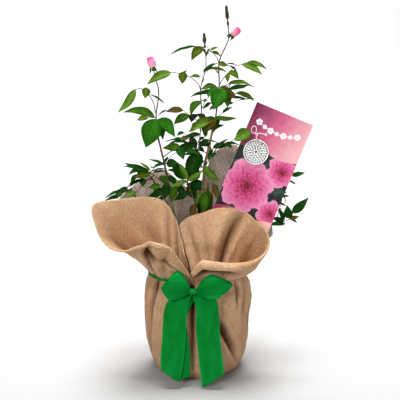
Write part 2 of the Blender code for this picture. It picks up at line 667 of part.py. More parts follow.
# Each mass of foliage grows from one stem: (bough, share of the bough where it starts, foot radius, tip
# radius, the stem's waypoints after its start, rows of compound leaves). leaf_pieces reads a row.
MASSES = {
    "crown_left": ("cane_left", 1, 0.0015, 0.0011, (
        (-0.073, -0.020, 0.474), (-0.068, -0.020, 0.513), (-0.073, -0.020, 0.539),
        (-0.0765, -0.020, 0.555),
    ), (
        (0.22, 178, 12, 6, 60, 2, -30, "t"), (0.21, -112, -20, 12, 58, -72, 0, "t"),
        (0.22, -20, -20, 8, 54, -34, 30, "t"), (0.28, 178, 52, 56, 54, -44, -16, "tl"),
        (0.50, 60, 30, 20, 30, -10, 0, "tl"), (0.12, 130, 20, 24, 34, -20, 0, "tlr"),
    )),
    "crown_right": ("cane_right", 1, 0.0017, 0.0011, (
        (0.040, 0.000, 0.524), (0.040, 0.000, 0.569), (0.0555, 0.000, 0.606), (0.0560, 0.000, 0.628),
    ), (
        (0.50, -172, -12, 5, 28, -20, 0, "t"), (0.49, -20, -10, 8, 18, 0, 0, "t"),
        (0.42, -165, 0, 4, 22, -6, 0, "t"), (0.25, -4, 46, 52, 48, -10, 30, "tl"),
        (0.33, 20, 15, 10, 22, -20, 20, "t"), (0.25, -15, 20, 18, 50, 0, 0, "tl"),
        (0.22, -25, -8, 24, 42, -12, 0, "tr"), (0.25, 176, 4, 4, 34, -4, 0, "t"),
        (0.27, -84, 0, 16, 44, -72, 0, "tr"), (0.05, -4, 38, 36, 34, 2, 0, "tL"),
        (0.02, -116, 4, 16, 38, -40, 0, "tlr"), (0.02, -14, 6, 8, 44, -2, 0, "tl"),
        (0.14, 100, 20, 30, 36, -20, 0, "tl"), (0.38, 130, 30, 22, 28, -10, 0, "tr"),
    )),
    "crown_centre": ("cane_centre", 1, 0.0013, 0.0010, (
        (0.008, -0.010, 0.482), (0.007, -0.010, 0.523), (0.016, -0.010, 0.560), (0.014, -0.010, 0.597),
    ), (
        (0.96, 178, 14, 14, 62, -8, 0, "t"), (0.96, -168, 6, 6, 32, -52, -30, "t"),
        (0.93, 10, 30, 8, 18, 12, 0, "t"), (0.90, -12, 8, 10, 20, -8, 0, "t"),
        (0.70, -174, 2, 6, 26, 0, 0, "t"), (0.50, 180, 32, 58, 42, -26, -40, "tL"),
        (0.45, -168, -4, 5, 32, -18, 0, "t"), (0.41, -150, 4, 5, 36, -46, 0, "t"),
        (0.12, 165, 44, 44, 48, -10, -30, "tR"), (0.14, -124, 4, 12, 34, -40, 0, "tlr"),
        (0.02, -130, -4, 8, 34, -16, 0, "tlr"), (0.16, 110, 20, 26, 34, -20, 0, "tl"),
        (0.05, 160, 10, 18, 36, 4, -40, "tlr"), (0.04, -30, 0, 10, 34, -10, 0, "tlr"),
        (0.01, -118, -40, 12, 52, -76, 0, "t"),
    )),
    "spray_middle": ("cane_middle", 1, 0.0016, 0.0012, (
        (-0.008, -0.026, 0.332), (-0.018, -0.030, 0.353),
    ), (
        (0.97, 178, 62, 4, 36, 62, -55, "t"), (0.96, -10, 40, 4, 33, 38, 45, "t"),
        (0.95, 180, -20, 4, 34, -26, -35, "t"), (0.85, 150, 60, 16, 42, 50, -50, "t"),
        (0.80, 60, 60, 16, 42, 40, 50, "t"), (0.50, 170, 10, 8, 32, -20, -40, "t"),
    )),
    "spray_green": ("cane_green", 1, 0.0018, 0.0013, (
        (0.021, -0.012, 0.335), (0.020, -0.014, 0.351),
    ), (
        (0.95, 160, 66, 4, 38, 66, 0, "t"), (0.90, -40, 30, 4, 36, 10, 35, "t"),
        (0.45, -125, -10, 8, 40, -70, 0, "t"), (0.50, -60, -10, 8, 40, -66, 0, "t"),
    )),
    "spray_low_left": ("cane_low_left", 1, 0.0016, 0.0012, (
        (-0.080, 0.008, 0.352), (-0.090, 0.004, 0.366),
    ), (
        (0.95, 172, 30, 18, 34, 20, 0, "tlrLR"), (0.60, -160, 0, 20, 30, -20, 0, "tlr"),
        (0.90, 30, 50, 18, 32, 20, 0, "tr"),
    )),
    "spray_outer_left": ("cane_outer_left", 1, 0.0015, 0.0012, (
        (-0.116, 0.016, 0.322), (-0.126, 0.010, 0.331),
    ), (
        (0.95, -172, 8, 14, 34, -6, 0, "tlr"), (0.60, 160, 30, 12, 28, 10, 0, "tl"),
    )),
    "spray_low_right": ("cane_low_right", 1, 0.0015, 0.0012, (
        (0.142, 0.016, 0.291), (0.158, 0.018, 0.298),
    ), (
        (0.95, 6, 30, 24, 32, 18, 30, "tlrLR"), (0.40, -30, 0, 8, 26, -40, 0, "t"),
    )),
    "spray_side_right": ("cane_side_right", 1, 0.0015, 0.0012, (
        (0.157, 0.020, 0.345), (0.170, 0.018, 0.358),
    ), (
        (0.95, 6, 26, 10, 28, 16, 0, "t"), (0.90, -8, -6, 6, 20, -6, 0, "t"),
        (0.20, 0, -40, 10, 24, -50, 0, "t"),
    )),
    "spray_inner_left": ("cane_left", 0.84, 0.0013, 0.0011, (
        (-0.045, -0.028, 0.412), (-0.034, -0.032, 0.417),
    ), (
        (0.95, -20, 0, 6, 38, 0, 20, "tlr"), (0.50, 165, 20, 4, 30, 10, -20, "t"),
    )),
    "spray_foot_left": ("cane_left", 0.56, 0.0013, 0.0011, (
        (-0.058, -0.030, 0.324), (-0.062, -0.034, 0.334),
    ), (
        (0.95, 175, 10, 4, 34, -14, -30, "tl"), (0.80, -60, -10, 4, 34, -50, 0, "t"),
        (0.60, 170, 0, 3, 30, -50, -30, "t"),
    )),
    "spray_card_side": ("cane_right", 0.66, 0.0013, 0.0011, (
        (0.040, -0.012, 0.420), (0.056, -0.018, 0.424),
    ), (
        (0.97, -10, 30, 6, 36, 40, 65, "t"), (0.55, 0, 10, 8, 28, 10, 0, "tl"),
        (0.30, -60, 0, 8, 30, -10, 0, "tl"),
    )),
    "spray_back": ("cane_back", 1, 0.0016, 0.0012, (
        (-0.010, 0.044, 0.395), (-0.012, 0.040, 0.415),
    ), (
        (0.90, 150, 30, 26, 38, 0, 0, "tlr"), (0.85, 20, 30, 26, 38, 0, 0, "tlr"),
        (0.50, 80, 20, 26, 36, -10, 0, "tl"),
    )),
}

# Buds on the stems: (mass, share of the stem, compass and rise of the stalk, its length, the bud's length and
# radius, how far it narrows to its tip, spread of its sepals in degrees).
BUDS = (
    ("crown_left", 1.0, 170, 72, 0.003, 0.0220, 0.0088, 0.25, 120),
    ("crown_right", 0.80, -30, 34, 0.0080, 0.0190, 0.0082, 0.25, 125),
    ("crown_right", 1.0, 172, 84, 0.012, 0.0300, 0.0036, 0.80, 12),
    ("crown_centre", 1.0, 150, 86, 0.002, 0.0220, 0.0038, 0.80, 14),
)


def stem_start(bough, share, towards, radius):
    """Where a stem starts so that it stays GAP clear of its bough's tip or side."""
    foot_r, tip_r, waypoints = BOUGHS[bough]
    path = curved([Vector(p) for p in waypoints], 3)
    towards = Vector(towards)
    if share == 1:
        along = (path[-1] - path[-2]).normalized()
        turn = along.angle(towards - path[-1])
        return path[-1] + along * (GAP + radius * math.sin(turn))
    root = along_points(path, share)
    along = (along_points(path, share + 0.02) - root).normalized()
    away = (towards - root).normalized()
    angle = away.angle(along)
    bough_r = mix((foot_r, tip_r), share)
    reach = bough_r + GAP + radius * abs(math.cos(angle))
    return root + away * (reach / math.sin(angle))


def build_piece(bm, piece):
    """Adds one twig or blade to bm."""
    kind, *sizes = piece
    if kind == "twig":
        twig(bm, *sizes, PETIOLE_R, PETIOLE_R)
    elif kind == "blade":
        leaflet(bm, *sizes)
    else:
        bud(bm, *sizes)


def touches(piece, trees):
    """Whether a piece, made a little fatter, meets any other node."""
    bm = bmesh.new()
    build_piece(bm, piece)
    bm.normal_update()
    for vert in bm.verts:
        vert.co += vert.normal * CLEARANCE
    tree = BVHTree.FromBMesh(bm)
    bm.free()
    return any(tree.overlap(other) for other in trees)


def mass_pieces(name, path, rows, trees):
    """The pieces of a mass, without what meets another node or belongs to a leaf whose stalk does."""
    rng = random.Random(name)
    kept = []
    for row in rows:
        pieces = leaf_pieces(along_points(path, row[0]), row, rng)
        if any(touches(piece, trees) for piece in pieces if piece[0] == "twig"):
            continue
        kept += [piece for piece in pieces if not touches(piece, trees)]
    for mass, share, compass, rise, stalk, length, radius, point, spread in BUDS:
        if mass != name:
            continue
        root = along_points(path, share)
        along = heading(compass, 90 - rise)
        foot = root + along * stalk
        kept.append(("twig", root - along * 0.001, foot + along * 0.002))
        kept.append(("bud", foot, along, length, radius, point))
        kept += sepals(foot + along * 0.001, along, length * 0.62, math.radians(spread))
    return kept


def mass_stem(name, finish, collection):
    """The stem of a mass, as a mesh, and the points along it."""
    bough, share, foot_r, tip_r, waypoints, _ = MASSES[name]
    start = stem_start(bough, share, waypoints[0], foot_r)
    stem = as_mesh(limb(name, [start, *waypoints], foot_r, tip_r, finish, collection), collection)
    return stem, curved([start, *[Vector(p) for p in waypoints]], 3)


def join_pieces(stem, pieces, finish):
    """Joins every twig, blade and bud onto a stem by one Boolean, and applies it."""
    loose = new_collection(stem.name + "_pieces")
    for piece in pieces:
        mesh = mesh_from("piece", lambda bm, piece=piece: build_piece(bm, piece))
        object_of(stem.name + "_piece", mesh, finish, loose)
    union = stem.modifiers.new("union", "BOOLEAN")
    union.operation = "UNION"
    union.operand_type = "COLLECTION"
    union.collection = loose
    union.solver = "MANIFOLD"
    bpy.context.view_layer.update()
    evaluated = stem.evaluated_get(bpy.context.evaluated_depsgraph_get())
    joined = bpy.data.meshes.new_from_object(evaluated)
    stem.modifiers.clear()
    stem.data = joined
    joined.materials.clear()
    joined.materials.append(finish)
    for piece in list(loose.objects):
        bpy.data.objects.remove(piece)
    bpy.data.collections.remove(loose)


def tree_of(obj):
    """The evaluated surface of an object, to test pieces against."""
    mesh = bpy.data.meshes.new_from_object(obj.evaluated_get(bpy.context.evaluated_depsgraph_get()))
    bm = bmesh.new()
    bm.from_mesh(mesh)
    bm.transform(obj.matrix_world)
    tree = BVHTree.FromBMesh(bm)
    bm.free()
    bpy.data.meshes.remove(mesh)
    return tree


def grow_masses(finish, collection):
    """Every mass, each kept clear of the nodes and stems that are there before it."""
    stems = {name: mass_stem(name, finish, collection) for name in MASSES}
    bpy.context.view_layer.update()
    trees = {obj.name: tree_of(obj) for obj in collection.objects}
    for name, (stem, path) in stems.items():
        others = [tree for other, tree in trees.items() if other != name]
        join_pieces(stem, mass_pieces(name, path, MASSES[name][-1], others), finish)
        bpy.context.view_layer.update()
        trees[name] = tree_of(stem)


def main():
    clear_scene()
    parts = new_collection("rose_bush")
    cutters = new_collection("cutters")
    burlap = material("burlap", (0.55, 0.36, 0.20), 0.95)
    ribbon = material("ribbon", (0.0, 0.42, 0.08), 0.45)
    plastic = material("pot_plastic", (0.02, 0.02, 0.02), 0.5)
    soil = material("compost", (0.05, 0.03, 0.02), 1.0)
    bark = material("bark", (0.20, 0.16, 0.07), 0.7)
    paper = material("card", (0.80, 0.25, 0.40), 0.4)
    metal = material("charm_metal", (0.80, 0.80, 0.78), 0.35, 1.0)
    pale = material("charm_ribbon", (0.92, 0.66, 0.78), 0.5)
    pot(plastic, parts)
    compost(soil, parts)
    knuckle(bark, parts)
    wrap_body(burlap, parts)
    flap("wrap_flap_left", FLAP_LEFT, burlap, parts)
    flap("wrap_flap_right", FLAP_RIGHT, burlap, parts)
    flap("wrap_flap_back", FLAP_BACK, burlap, parts)
    ribbon_band(ribbon, parts)
    knot(ribbon, parts)
    bow_loop("bow_loop_left", -1, 0.049, 0.003, ribbon, parts)
    bow_loop("bow_loop_right", 1, 0.060, 0.005, ribbon, parts)
    tail("ribbon_tail_left", TAIL_LEFT, ribbon, parts)
    tail("ribbon_tail_right", TAIL_RIGHT, ribbon, parts)
    tail("ribbon_tail_under", TAIL_UNDER, ribbon, parts)
    label_card(paper, parts)
    charm(metal, parts, cutters)
    charm_ribbon(pale, parts)

    leaf = material("leaf", (0.05, 0.20, 0.03), 0.5)
    for name, (foot_r, tip_r, waypoints) in BOUGHS.items():
        limb(name, waypoints, foot_r, tip_r, bark, parts)
    grow_masses(leaf, parts)


main()
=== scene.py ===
# %% [markdown]
# # A potted rose in a burlap wrap
# A young rose bush stands in a plastic pot. A square of burlap is drawn up round the pot and tied with a
# satin ribbon, and its corners flare out above the tie. A picture label and a round charm stand among the
# leaves. The plain solids of the design are loaded first and stay where they are. Every piece below is
# modelled round the same origin, the middle of the wrap's underside, so nothing has to be fitted afterwards.
# Blender counts in metres. Lists of places are easier to read in millimetres, so `mm` turns them into
# metres.

# %% Load the frame
import math
import random

import bmesh
import bpy
from mathutils import Matrix, Vector, noise
from mathutils.bvhtree import BVHTree


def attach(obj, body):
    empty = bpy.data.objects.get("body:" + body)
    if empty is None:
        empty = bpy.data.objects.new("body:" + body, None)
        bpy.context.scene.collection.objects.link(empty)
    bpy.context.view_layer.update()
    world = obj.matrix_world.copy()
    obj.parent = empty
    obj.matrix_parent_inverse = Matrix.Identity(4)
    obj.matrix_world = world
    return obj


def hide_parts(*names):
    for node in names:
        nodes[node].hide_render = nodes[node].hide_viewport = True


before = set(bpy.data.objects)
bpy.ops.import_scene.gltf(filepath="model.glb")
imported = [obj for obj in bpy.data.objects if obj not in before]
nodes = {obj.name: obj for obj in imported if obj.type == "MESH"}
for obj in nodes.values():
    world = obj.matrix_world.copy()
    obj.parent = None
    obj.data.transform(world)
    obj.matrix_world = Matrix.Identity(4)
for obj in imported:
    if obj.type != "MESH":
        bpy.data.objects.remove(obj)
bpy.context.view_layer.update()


def mm(lengths):
    """Lengths in millimetres as a vector in metres."""
    return Vector([length / 1000 for length in lengths])


# %% [markdown]
# ## Helpers for shaders
# Every finish here is a node tree, and writing links one by one hides what the tree does. `add` makes a node
# and fills its inputs in order, with numbers or with the outputs of other nodes, so that a tree reads like a
# sum.

# %% Nodes
def fill(tree, sockets, values):
    """Gives each socket its number or its link. None leaves a socket as it is."""
    for socket, value in zip(sockets, values):
        if isinstance(value, bpy.types.NodeSocket):
            tree.links.new(value, socket)
        elif value is not None:
            socket.default_value = value


def add(tree, kind, *values, **settings):
    """Adds a node with these settings and inputs, and returns its first output."""
    made = tree.nodes.new("ShaderNode" + kind)
    for key, value in settings.items():
        setattr(made, key, value)
    fill(tree, made.inputs, values)
    return made.outputs[0]


def calc(tree, operation, *values):
    return add(tree, "Math", *values, operation=operation)


def times(tree, first, second):
    return calc(tree, "MULTIPLY", first, second)


def remap(tree, value, low, high, to_low=0.0, to_high=1.0):
    """A value spread from one range to another, and held inside it."""
    return add(tree, "MapRange", value, low, high, to_low, to_high)


def blend(tree, factor, first, second, way="MIX"):
    """Two colours mixed by a factor. A colour is a link or three numbers."""
    made = tree.nodes.new("ShaderNodeMix")
    made.data_type = "RGBA"
    made.blend_type = way
    colors = [(*c, 1.0) if isinstance(c, tuple) else c for c in (first, second)]
    fill(tree, (made.inputs[0], made.inputs[6], made.inputs[7]), (factor, *colors))
    return made.outputs[2]


# %% Places and noise
def object_place(tree):
    return tree.nodes.new("ShaderNodeTexCoord").outputs["Object"]


def thread_place(tree):
    """The piece's own map: metres along its threads, or shares from 0 to 1 on a leaf or petal."""
    return add(tree, "UVMap", uv_map="cloth")


def parts(tree, place):
    """The three numbers of a place."""
    return add(tree, "SeparateXYZ", place).node.outputs


def stretched(tree, place, factors):
    return add(tree, "VectorMath", place, factors, operation="MULTIPLY")


def rough_noise(tree, place, scale, detail=2.0):
    """A soft random value from 0 to 1 over a place."""
    return add(tree, "TexNoise", place, None, scale, detail)


def bent(tree, place, scale, amount):
    """A place pushed about by soft noise, so that what is drawn with it runs unevenly."""
    cloud = rough_noise(tree, place, scale).node.outputs["Color"]
    push = add(tree, "VectorMath", cloud, (0.5, 0.5, 0.5), operation="SUBTRACT")
    push = add(tree, "VectorMath", push, None, None, amount, operation="SCALE")
    return add(tree, "VectorMath", place, push, operation="ADD")


# %% Finishes
def finish_of(name, roughness, metallic=0.0, shine=0.5, **uniform):
    """A new material with a Principled shader, its node tree and that shader's inputs."""
    made = bpy.data.materials.new(name)
    made.use_nodes = True
    shader = made.node_tree.nodes["Principled BSDF"]
    shader.inputs["Roughness"].default_value = roughness
    shader.inputs["Metallic"].default_value = metallic
    shader.inputs["Specular IOR Level"].default_value = shine
    for key, value in uniform.items():
        shader.inputs[key.replace("_", " ").title()].default_value = value
    return made, made.node_tree, shader.inputs


def set_color(tree, sockets, color):
    tree.links.new(color, sockets["Base Color"])


def set_bump(tree, sockets, height, strength, distance):
    bump = tree.nodes.new("ShaderNodeBump")
    fill(tree, (bump.inputs["Strength"], bump.inputs["Distance"], bump.inputs["Height"]),
         (strength, distance, height))
    tree.links.new(bump.outputs[0], sockets["Normal"])


def scaled_color(color, factor):
    return tuple(factor * value for value in color)


# %% Node groups
def group_of(name, inputs, outputs):
    """A new shader node group: its tree, the values it is given, and the sockets of its results."""
    tree = bpy.data.node_groups.new(name, "ShaderNodeTree")
    for title, kind in inputs:
        tree.interface.new_socket(title, in_out="INPUT", socket_type="NodeSocket" + kind)
    for title in outputs:
        tree.interface.new_socket(title, in_out="OUTPUT", socket_type="NodeSocketFloat")
    return tree, tree.nodes.new("NodeGroupInput").outputs, tree.nodes.new("NodeGroupOutput").inputs


def use_group(tree, group, *values):
    """Places a group in a material with its own values, and returns its outputs."""
    made = tree.nodes.new("ShaderNodeGroup")
    made.node_tree = group
    fill(tree, made.inputs, values)
    return made.outputs


# %% [markdown]
# ## Helpers for meshes
# Cloth, ribbon, petals and leaves are all thin sheets, so one helper makes them: a grid from
# `bmesh.ops.create_grid`, whose points are then laid where a function of two shares says. The same helper
# measures the laid sheet along its rows and columns and keeps that as a UV map in metres. A weave that reads
# the map keeps its thread size, however the cloth is draped. Where a shade is given, each point also keeps
# how much painted shade its fold gets, from how deep in the fold it lies.

# %% Shares, directions and curves
def mix(ends, share):
    return ends[0] + (ends[1] - ends[0]) * share


def ease(share):
    """A share held between 0 and 1 that starts and stops gently."""
    share = min(1.0, max(0.0, share))
    return share * share * (3 - 2 * share)


def heading(compass, lean):
    """The unit vector with this compass angle and this lean from straight up, both in degrees."""
    c, a = math.radians(compass), math.radians(lean)
    return Vector((math.sin(a) * math.cos(c), math.sin(a) * math.sin(c), math.cos(a)))


def curved(waypoints, steps):
    """Points along a smooth curve through a few waypoints, with as many steps in each stretch."""
    ends = [2 * waypoints[0] - waypoints[1], *waypoints, 2 * waypoints[-1] - waypoints[-2]]
    points = []
    for a, b, c, d in zip(ends, ends[1:], ends[2:], ends[3:]):
        for i in range(steps):
            t = i / steps
            points.append(0.5 * (2 * b + (c - a) * t + (2 * a - 5 * b + 4 * c - d) * t * t
                                 + (3 * b - a - 3 * c + d) * t ** 3))
    return [*points, waypoints[-1]]


def along_points(points, share):
    """The point at this share of the way along a list of equal steps."""
    at = share * (len(points) - 1)
    i = min(int(at), len(points) - 2)
    return points[i].lerp(points[i + 1], at - i)


# %% Sheets
def thread_lengths(laid):
    """How far each point of a laid grid is along its row from the middle, and up its column from the foot."""
    middle = (len(laid[0]) - 1) // 2
    across, upward = [], [[0.0] * len(laid[0])]
    for line in laid:
        row = [0.0]
        for a, b in zip(line, line[1:]):
            row.append(row[-1] + (b - a).length)
        across.append([u - row[middle] for u in row])
    for low, high in zip(laid, laid[1:]):
        upward.append([v + (b - a).length for v, a, b in zip(upward[-1], low, high)])
    return across, upward


def finish_faces(made, material=0):
    """Gives the faces round these points a finish and smooth shading, and returns them."""
    faces = {face for vert in made for face in vert.link_faces}
    for face in faces:
        face.material_index = material
        face.smooth = True
    return faces


def sheet(columns, rows, place, bm=None, material=0, scaled=True, shade=None):
    """Adds a grid laid where place(s, t) says, s and t from 0 to 1, with its thread map and the painted shade
    of its folds.
    """
    bm = bm or bmesh.new()
    fold = (bm.verts.layers.float.get("fold") or bm.verts.layers.float.new("fold")) if shade else None
    flat = bm.loops.layers.uv.get("cloth") or bm.loops.layers.uv.new("cloth")
    made = bmesh.ops.create_grid(bm, x_segments=columns, y_segments=rows, size=1.0)["verts"]
    laid = [[Vector(place(i / columns, j / rows)) for i in range(columns + 1)] for j in range(rows + 1)]
    across, upward = thread_lengths(laid)
    spot = {}
    for vert in made:
        i, j = spot[vert] = round((vert.co.x + 1) / 2 * columns), round((vert.co.y + 1) / 2 * rows)
        vert.co = laid[j][i]
        if shade:
            vert[fold] = shade(i / columns, j / rows)
    for face in finish_faces(made, material):
        for loop in face.loops:
            i, j = spot[loop.vert]
            loop[flat].uv = (across[j][i], upward[j][i]) if scaled else (i / columns, j / rows)
    return bm


# %% Pieces
def outward(bm):
    """Points every face of closed shapes outwards."""
    bmesh.ops.recalc_face_normals(bm, faces=bm.faces)


def merge(bm):
    """Joins points that lie on each other, as at a seam or a pole."""
    bmesh.ops.remove_doubles(bm, verts=bm.verts, dist=1e-6)


def piece(name, bm, finishes, replaced=(), thickness=0.0, offset=0.0, inner=0):
    """Makes the object of a finished bmesh, which rides on the plant and takes the place of its solids."""
    mesh = bpy.data.meshes.new(name)
    bm.to_mesh(mesh)
    bm.free()
    for finish in finishes:
        mesh.materials.append(finish)
    obj = bpy.data.objects.new(name, mesh)
    bpy.context.scene.collection.objects.link(obj)
    if thickness:
        shell = obj.modifiers.new("thickness", "SOLIDIFY")
        shell.thickness, shell.offset, shell.material_offset = thickness, offset, inner
    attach(obj, "root")
    if replaced:
        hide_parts(*replaced)
    return obj

# %% [markdown]
# ## Burlap
# Burlap is a plain weave of thick, uneven jute yarn with small gaps between the threads. The weave is one
# node group that both burlaps share: each thread is the arch of a sine, and the product of the two sines
# says which thread lies on top at a crossing. It puts out a height for the bump, a mask of the gaps, and a
# tone that differs from thread to thread.

# %% Weave group
YARN_SWELL = (0.3, 0.7, 0.62, 1.12)  # the range of the noise, and how thin and thick it makes a yarn
ALONG_WARP, ALONG_WEFT = (1.0, 0.09, 1.0), (0.09, 1.0, 1.0)  # noise is drawn out along a yarn
OVER, LEVEL = 0.35, 0.65  # how much a yarn rises and sinks at a crossing, round its middle level


def weave_group():
    inputs = (("Place", "Vector"), ("Pitch", "Float"), ("Wobble", "Float"))
    tree, given, result = group_of("plain weave", inputs, ("Height", "Gap", "Tone"))
    place = bent(tree, given["Place"], 70.0, given["Wobble"])
    turns = calc(tree, "DIVIDE", math.pi, given["Pitch"])
    split = parts(tree, add(tree, "VectorMath", place, None, None, turns, operation="SCALE"))
    waves = [calc(tree, "SINE", split[i]) for i in range(2)]
    crossing = times(tree, *waves)
    fat, arch, top = [], [], []
    for wave, drawn_out, rise in zip(waves, (ALONG_WARP, ALONG_WEFT), (OVER, -OVER)):
        fat.append(rough_noise(tree, stretched(tree, given["Place"], drawn_out), 900.0, 1.0))
        arch.append(times(tree, calc(tree, "ABSOLUTE", wave), remap(tree, fat[-1], *YARN_SWELL)))
        top.append(times(tree, arch[-1], calc(tree, "MULTIPLY_ADD", crossing, rise, LEVEL)))
    gap = remap(tree, calc(tree, "MAXIMUM", *arch), 0.30, 0.62, 1.0, 0.0)
    warp_shows = calc(tree, "GREATER_THAN", *top)
    weft_shows = calc(tree, "SUBTRACT", 1.0, warp_shows)
    tone = calc(tree, "ADD", times(tree, fat[0], warp_shows), times(tree, fat[1], weft_shows))
    fill(tree, result, (calc(tree, "MAXIMUM", *top), gap, tone))
    return tree


WEAVE = weave_group()
print("weave:", len(WEAVE.nodes), "nodes")

# %% [markdown]
# The cloth looks warm brown where it is doubled over the pot, and paler and greyer where a single layer
# stands against the light; the second finish paints that light into its threads. So one function makes both
# finishes from a pale thread, a dark thread, the colour seen in the gaps, which is partly painted shade
# between the yarns, and the share of each gap that is open. Where a thread sinks at a crossing, painted shade
# darkens it towards the gap colour. The corners of the square stand up, so a Mapping node turns the weave to
# run aslant. Cloth deep in a fold gets little light, so painted shade also darkens the colour by how deep in
# a fold the sheet lies.

# %% Burlap finishes
THREAD = 0.0026  # from one thread to the next
BIAS = (0.0, 0.0, math.radians(45))
# The first colour is the cloth's own staining in patches; the second is painted shade that folds multiply the
# colour by.
STAIN, PAINTED_FOLD_SHADE = (0.62, 0.33, 0.14), (0.20, 0.13, 0.08)


def burlap(name, pitch, pale, dark, gap_and_shade_color, open_share=0.0):
    made, tree, sockets = finish_of(name, 0.95, shine=0.15)
    aslant = add(tree, "Mapping", thread_place(tree), None, BIAS)
    height, gap, tone = use_group(tree, WEAVE, aslant, pitch, 0.0016)
    patches = remap(tree, rough_noise(tree, object_place(tree), 22.0, 3.0), 0.3, 0.7)
    thread = blend(tree, remap(tree, tone, 0.3, 0.7), dark, pale)
    thread = blend(tree, times(tree, patches, 0.45), thread, STAIN, "MULTIPLY")
    # Painted shade: a thread darkens towards the gap colour where it lies low in the weave.
    thread = blend(tree, remap(tree, height, 0.25, 0.75, 0.75, 0.0), thread, gap_and_shade_color)
    woven = blend(tree, gap, thread, gap_and_shade_color)
    fold = add(tree, "Attribute", attribute_name="fold").node.outputs["Fac"]
    # Painted shade: the colour darkens by each point's fold attribute, the painted shade of its crease, fold
    # or tuck.
    set_color(tree, sockets, blend(tree, times(tree, fold, 0.92), woven, PAINTED_FOLD_SHADE, "MULTIPLY"))
    set_bump(tree, sockets, height, 0.8, 0.0012)
    if open_share:
        fill(tree, [sockets["Alpha"]], [calc(tree, "MULTIPLY_ADD", gap, -open_share, 1.0)])
    return made


BURLAP = burlap("burlap_warm", THREAD, (0.97, 0.70, 0.46), (0.74, 0.47, 0.27), (0.28, 0.145, 0.07))
# Painted light: this single layer's paler, greyer threads stand in for the light behind it, and its
# near-black gap colour is partly painted shade.
BURLAP_OPEN = burlap("burlap_open", 1.3 * THREAD, (0.95, 0.86, 0.77), (0.66, 0.55, 0.47), (0.035, 0.02, 0.02),
                     open_share=0.3)
print("burlap finishes:", BURLAP.name, BURLAP_OPEN.name)

# %% [markdown]
# ## The wrap round the pot
# The cloth climbs from the flat underside over a rounded foot, bulges and is drawn in again at the tie, with
# deep creases where the square is gathered. A list of creases pulls the bulging profile in. Near the tie
# many small pleats are added, and the cloth is laid on the result as one closed sheet.

# %% Wrap profile and creases
TIE_R, TIE_Z = 0.0865, 0.184
# radius and height, in mm, from the middle of the underside to the tie
BELLY = (
    (2, 0), (45, 0), (70, 0), (81.5, 8), (91, 32), (96.5, 66), (98.5, 104), (99, 136), (96, 162),
    (90.5, 177),
)
PROFILE = curved([*(mm(spot) for spot in BELLY), Vector((TIE_R, TIE_Z))], 6)
# compass at the tie, its drift down to the foot, depth in mm, width in degrees, deepest share and its spread
CREASES = (
    (-95, 1, 26, 2.4, 0.82, 0.46), (-142, -20, 27, 3.6, 0.62, 0.45), (-118, -12, 7, 3.5, 0.35, 0.4),
    (-172, 4, 12, 7, 0.3, 0.2), (-160, -4, 6, 5, 0.62, 0.3), (-95.3, 72, 28, 4, 0.42, 0.19),
    (-38, -6, 15, 3, 0.86, 0.12), (-64, 12, 5, 5, 0.72, 0.2), (-22, -8, 7, 6, 0.7, 0.3),
    (-10, 10, 12, 8, 0.5, 0.13), (14, 6, 14, 6, 0.65, 0.34), (38, -8, 10, 6, 0.5, 0.34),
    (60, 5, 13, 6, 0.7, 0.34), (84, -4, 10, 6, 0.55, 0.34), (106, 8, 14, 6, 0.62, 0.34),
    (131, -6, 12, 6, 0.7, 0.34), (158, 5, 12, 6, 0.5, 0.34),
)
FOLD_DEPTH = 0.013  # as deep as this, a crease gets its full painted shade


def crease_depth(compass, share):
    """How far the creases draw the cloth in: each is a sharp valley between two fuller folds."""
    total = 0.0
    for at, drift, depth, width, deepest, spread in CREASES:
        off = abs((compass - at - drift * (1 - share) + 180) % 360 - 180) / width
        along = depth / 1000 * math.exp(-(((share - deepest) / spread) ** 2))
        total += along * (math.exp(-(off ** 1.35)) - 0.22 * math.exp(-((off - 2.6) ** 2)))
    return total


def painted_crease_shade(s, t):
    """How much painted shade the cloth gets in its creases, from 0 to 1."""
    share = along_points(PROFILE, t).y / TIE_Z
    return min(1.0, max(0.0, crease_depth(360 * s - 180, share) / FOLD_DEPTH))


# %% Wrap body
def pleats(compass, share):
    """Small gathers that fade away below the tie."""
    wave = math.sin(math.radians(23 * compass)) + 0.7 * math.sin(math.radians(37 * compass + 60))
    return 0.0011 * wave * ease((share - 0.72) / 0.25)


def wrap_point(s, t):
    spot = along_points(PROFILE, t)
    compass, share = 360 * s - 180, spot.y / TIE_Z
    c = math.radians(compass)
    swell = 0.0022 * math.sin(math.radians(3 * compass + 40)) * math.sin(math.pi * share)
    fade = min(1.0, 6 * share, 0.2 + 6 * (1 - share))
    ripple = 0.0016 * noise.noise(Vector((9 * c / math.pi, 14 * share, 3.1))) * ease(5 * share)
    r = spot.x + swell + ripple - crease_depth(compass, share) * fade - pleats(compass, share)
    return r * math.cos(c), r * math.sin(c), spot.y


def wrap_body():
    bm = sheet(480, len(PROFILE) - 1, wrap_point, shade=painted_crease_shade)
    merge(bm)
    outward(bm)
    return piece("burlap_body", bm, [BURLAP], ["wrap_body"], 0.0016, -1)


print("wrap:", len(wrap_body().data.polygons), "faces")

# %% [markdown]
# ## The flaps above the tie
# Above the tie the corners of the square flare out. A flap is described by its runs, the lines that the
# cloth follows from the gathered neck to the hem: where each leaves the tie, where its hem is, how far it
# leans, and the radius of the roll in which its hem ends. In between, the runs blend smoothly. Where a near
# wall turns back into a far wall, its runs leave the tie a little further in, so that both are one cloth.

# %% Flap runs
OUT_R, IN_R, INMOST_R = 0.0850, 0.0796, 0.0748
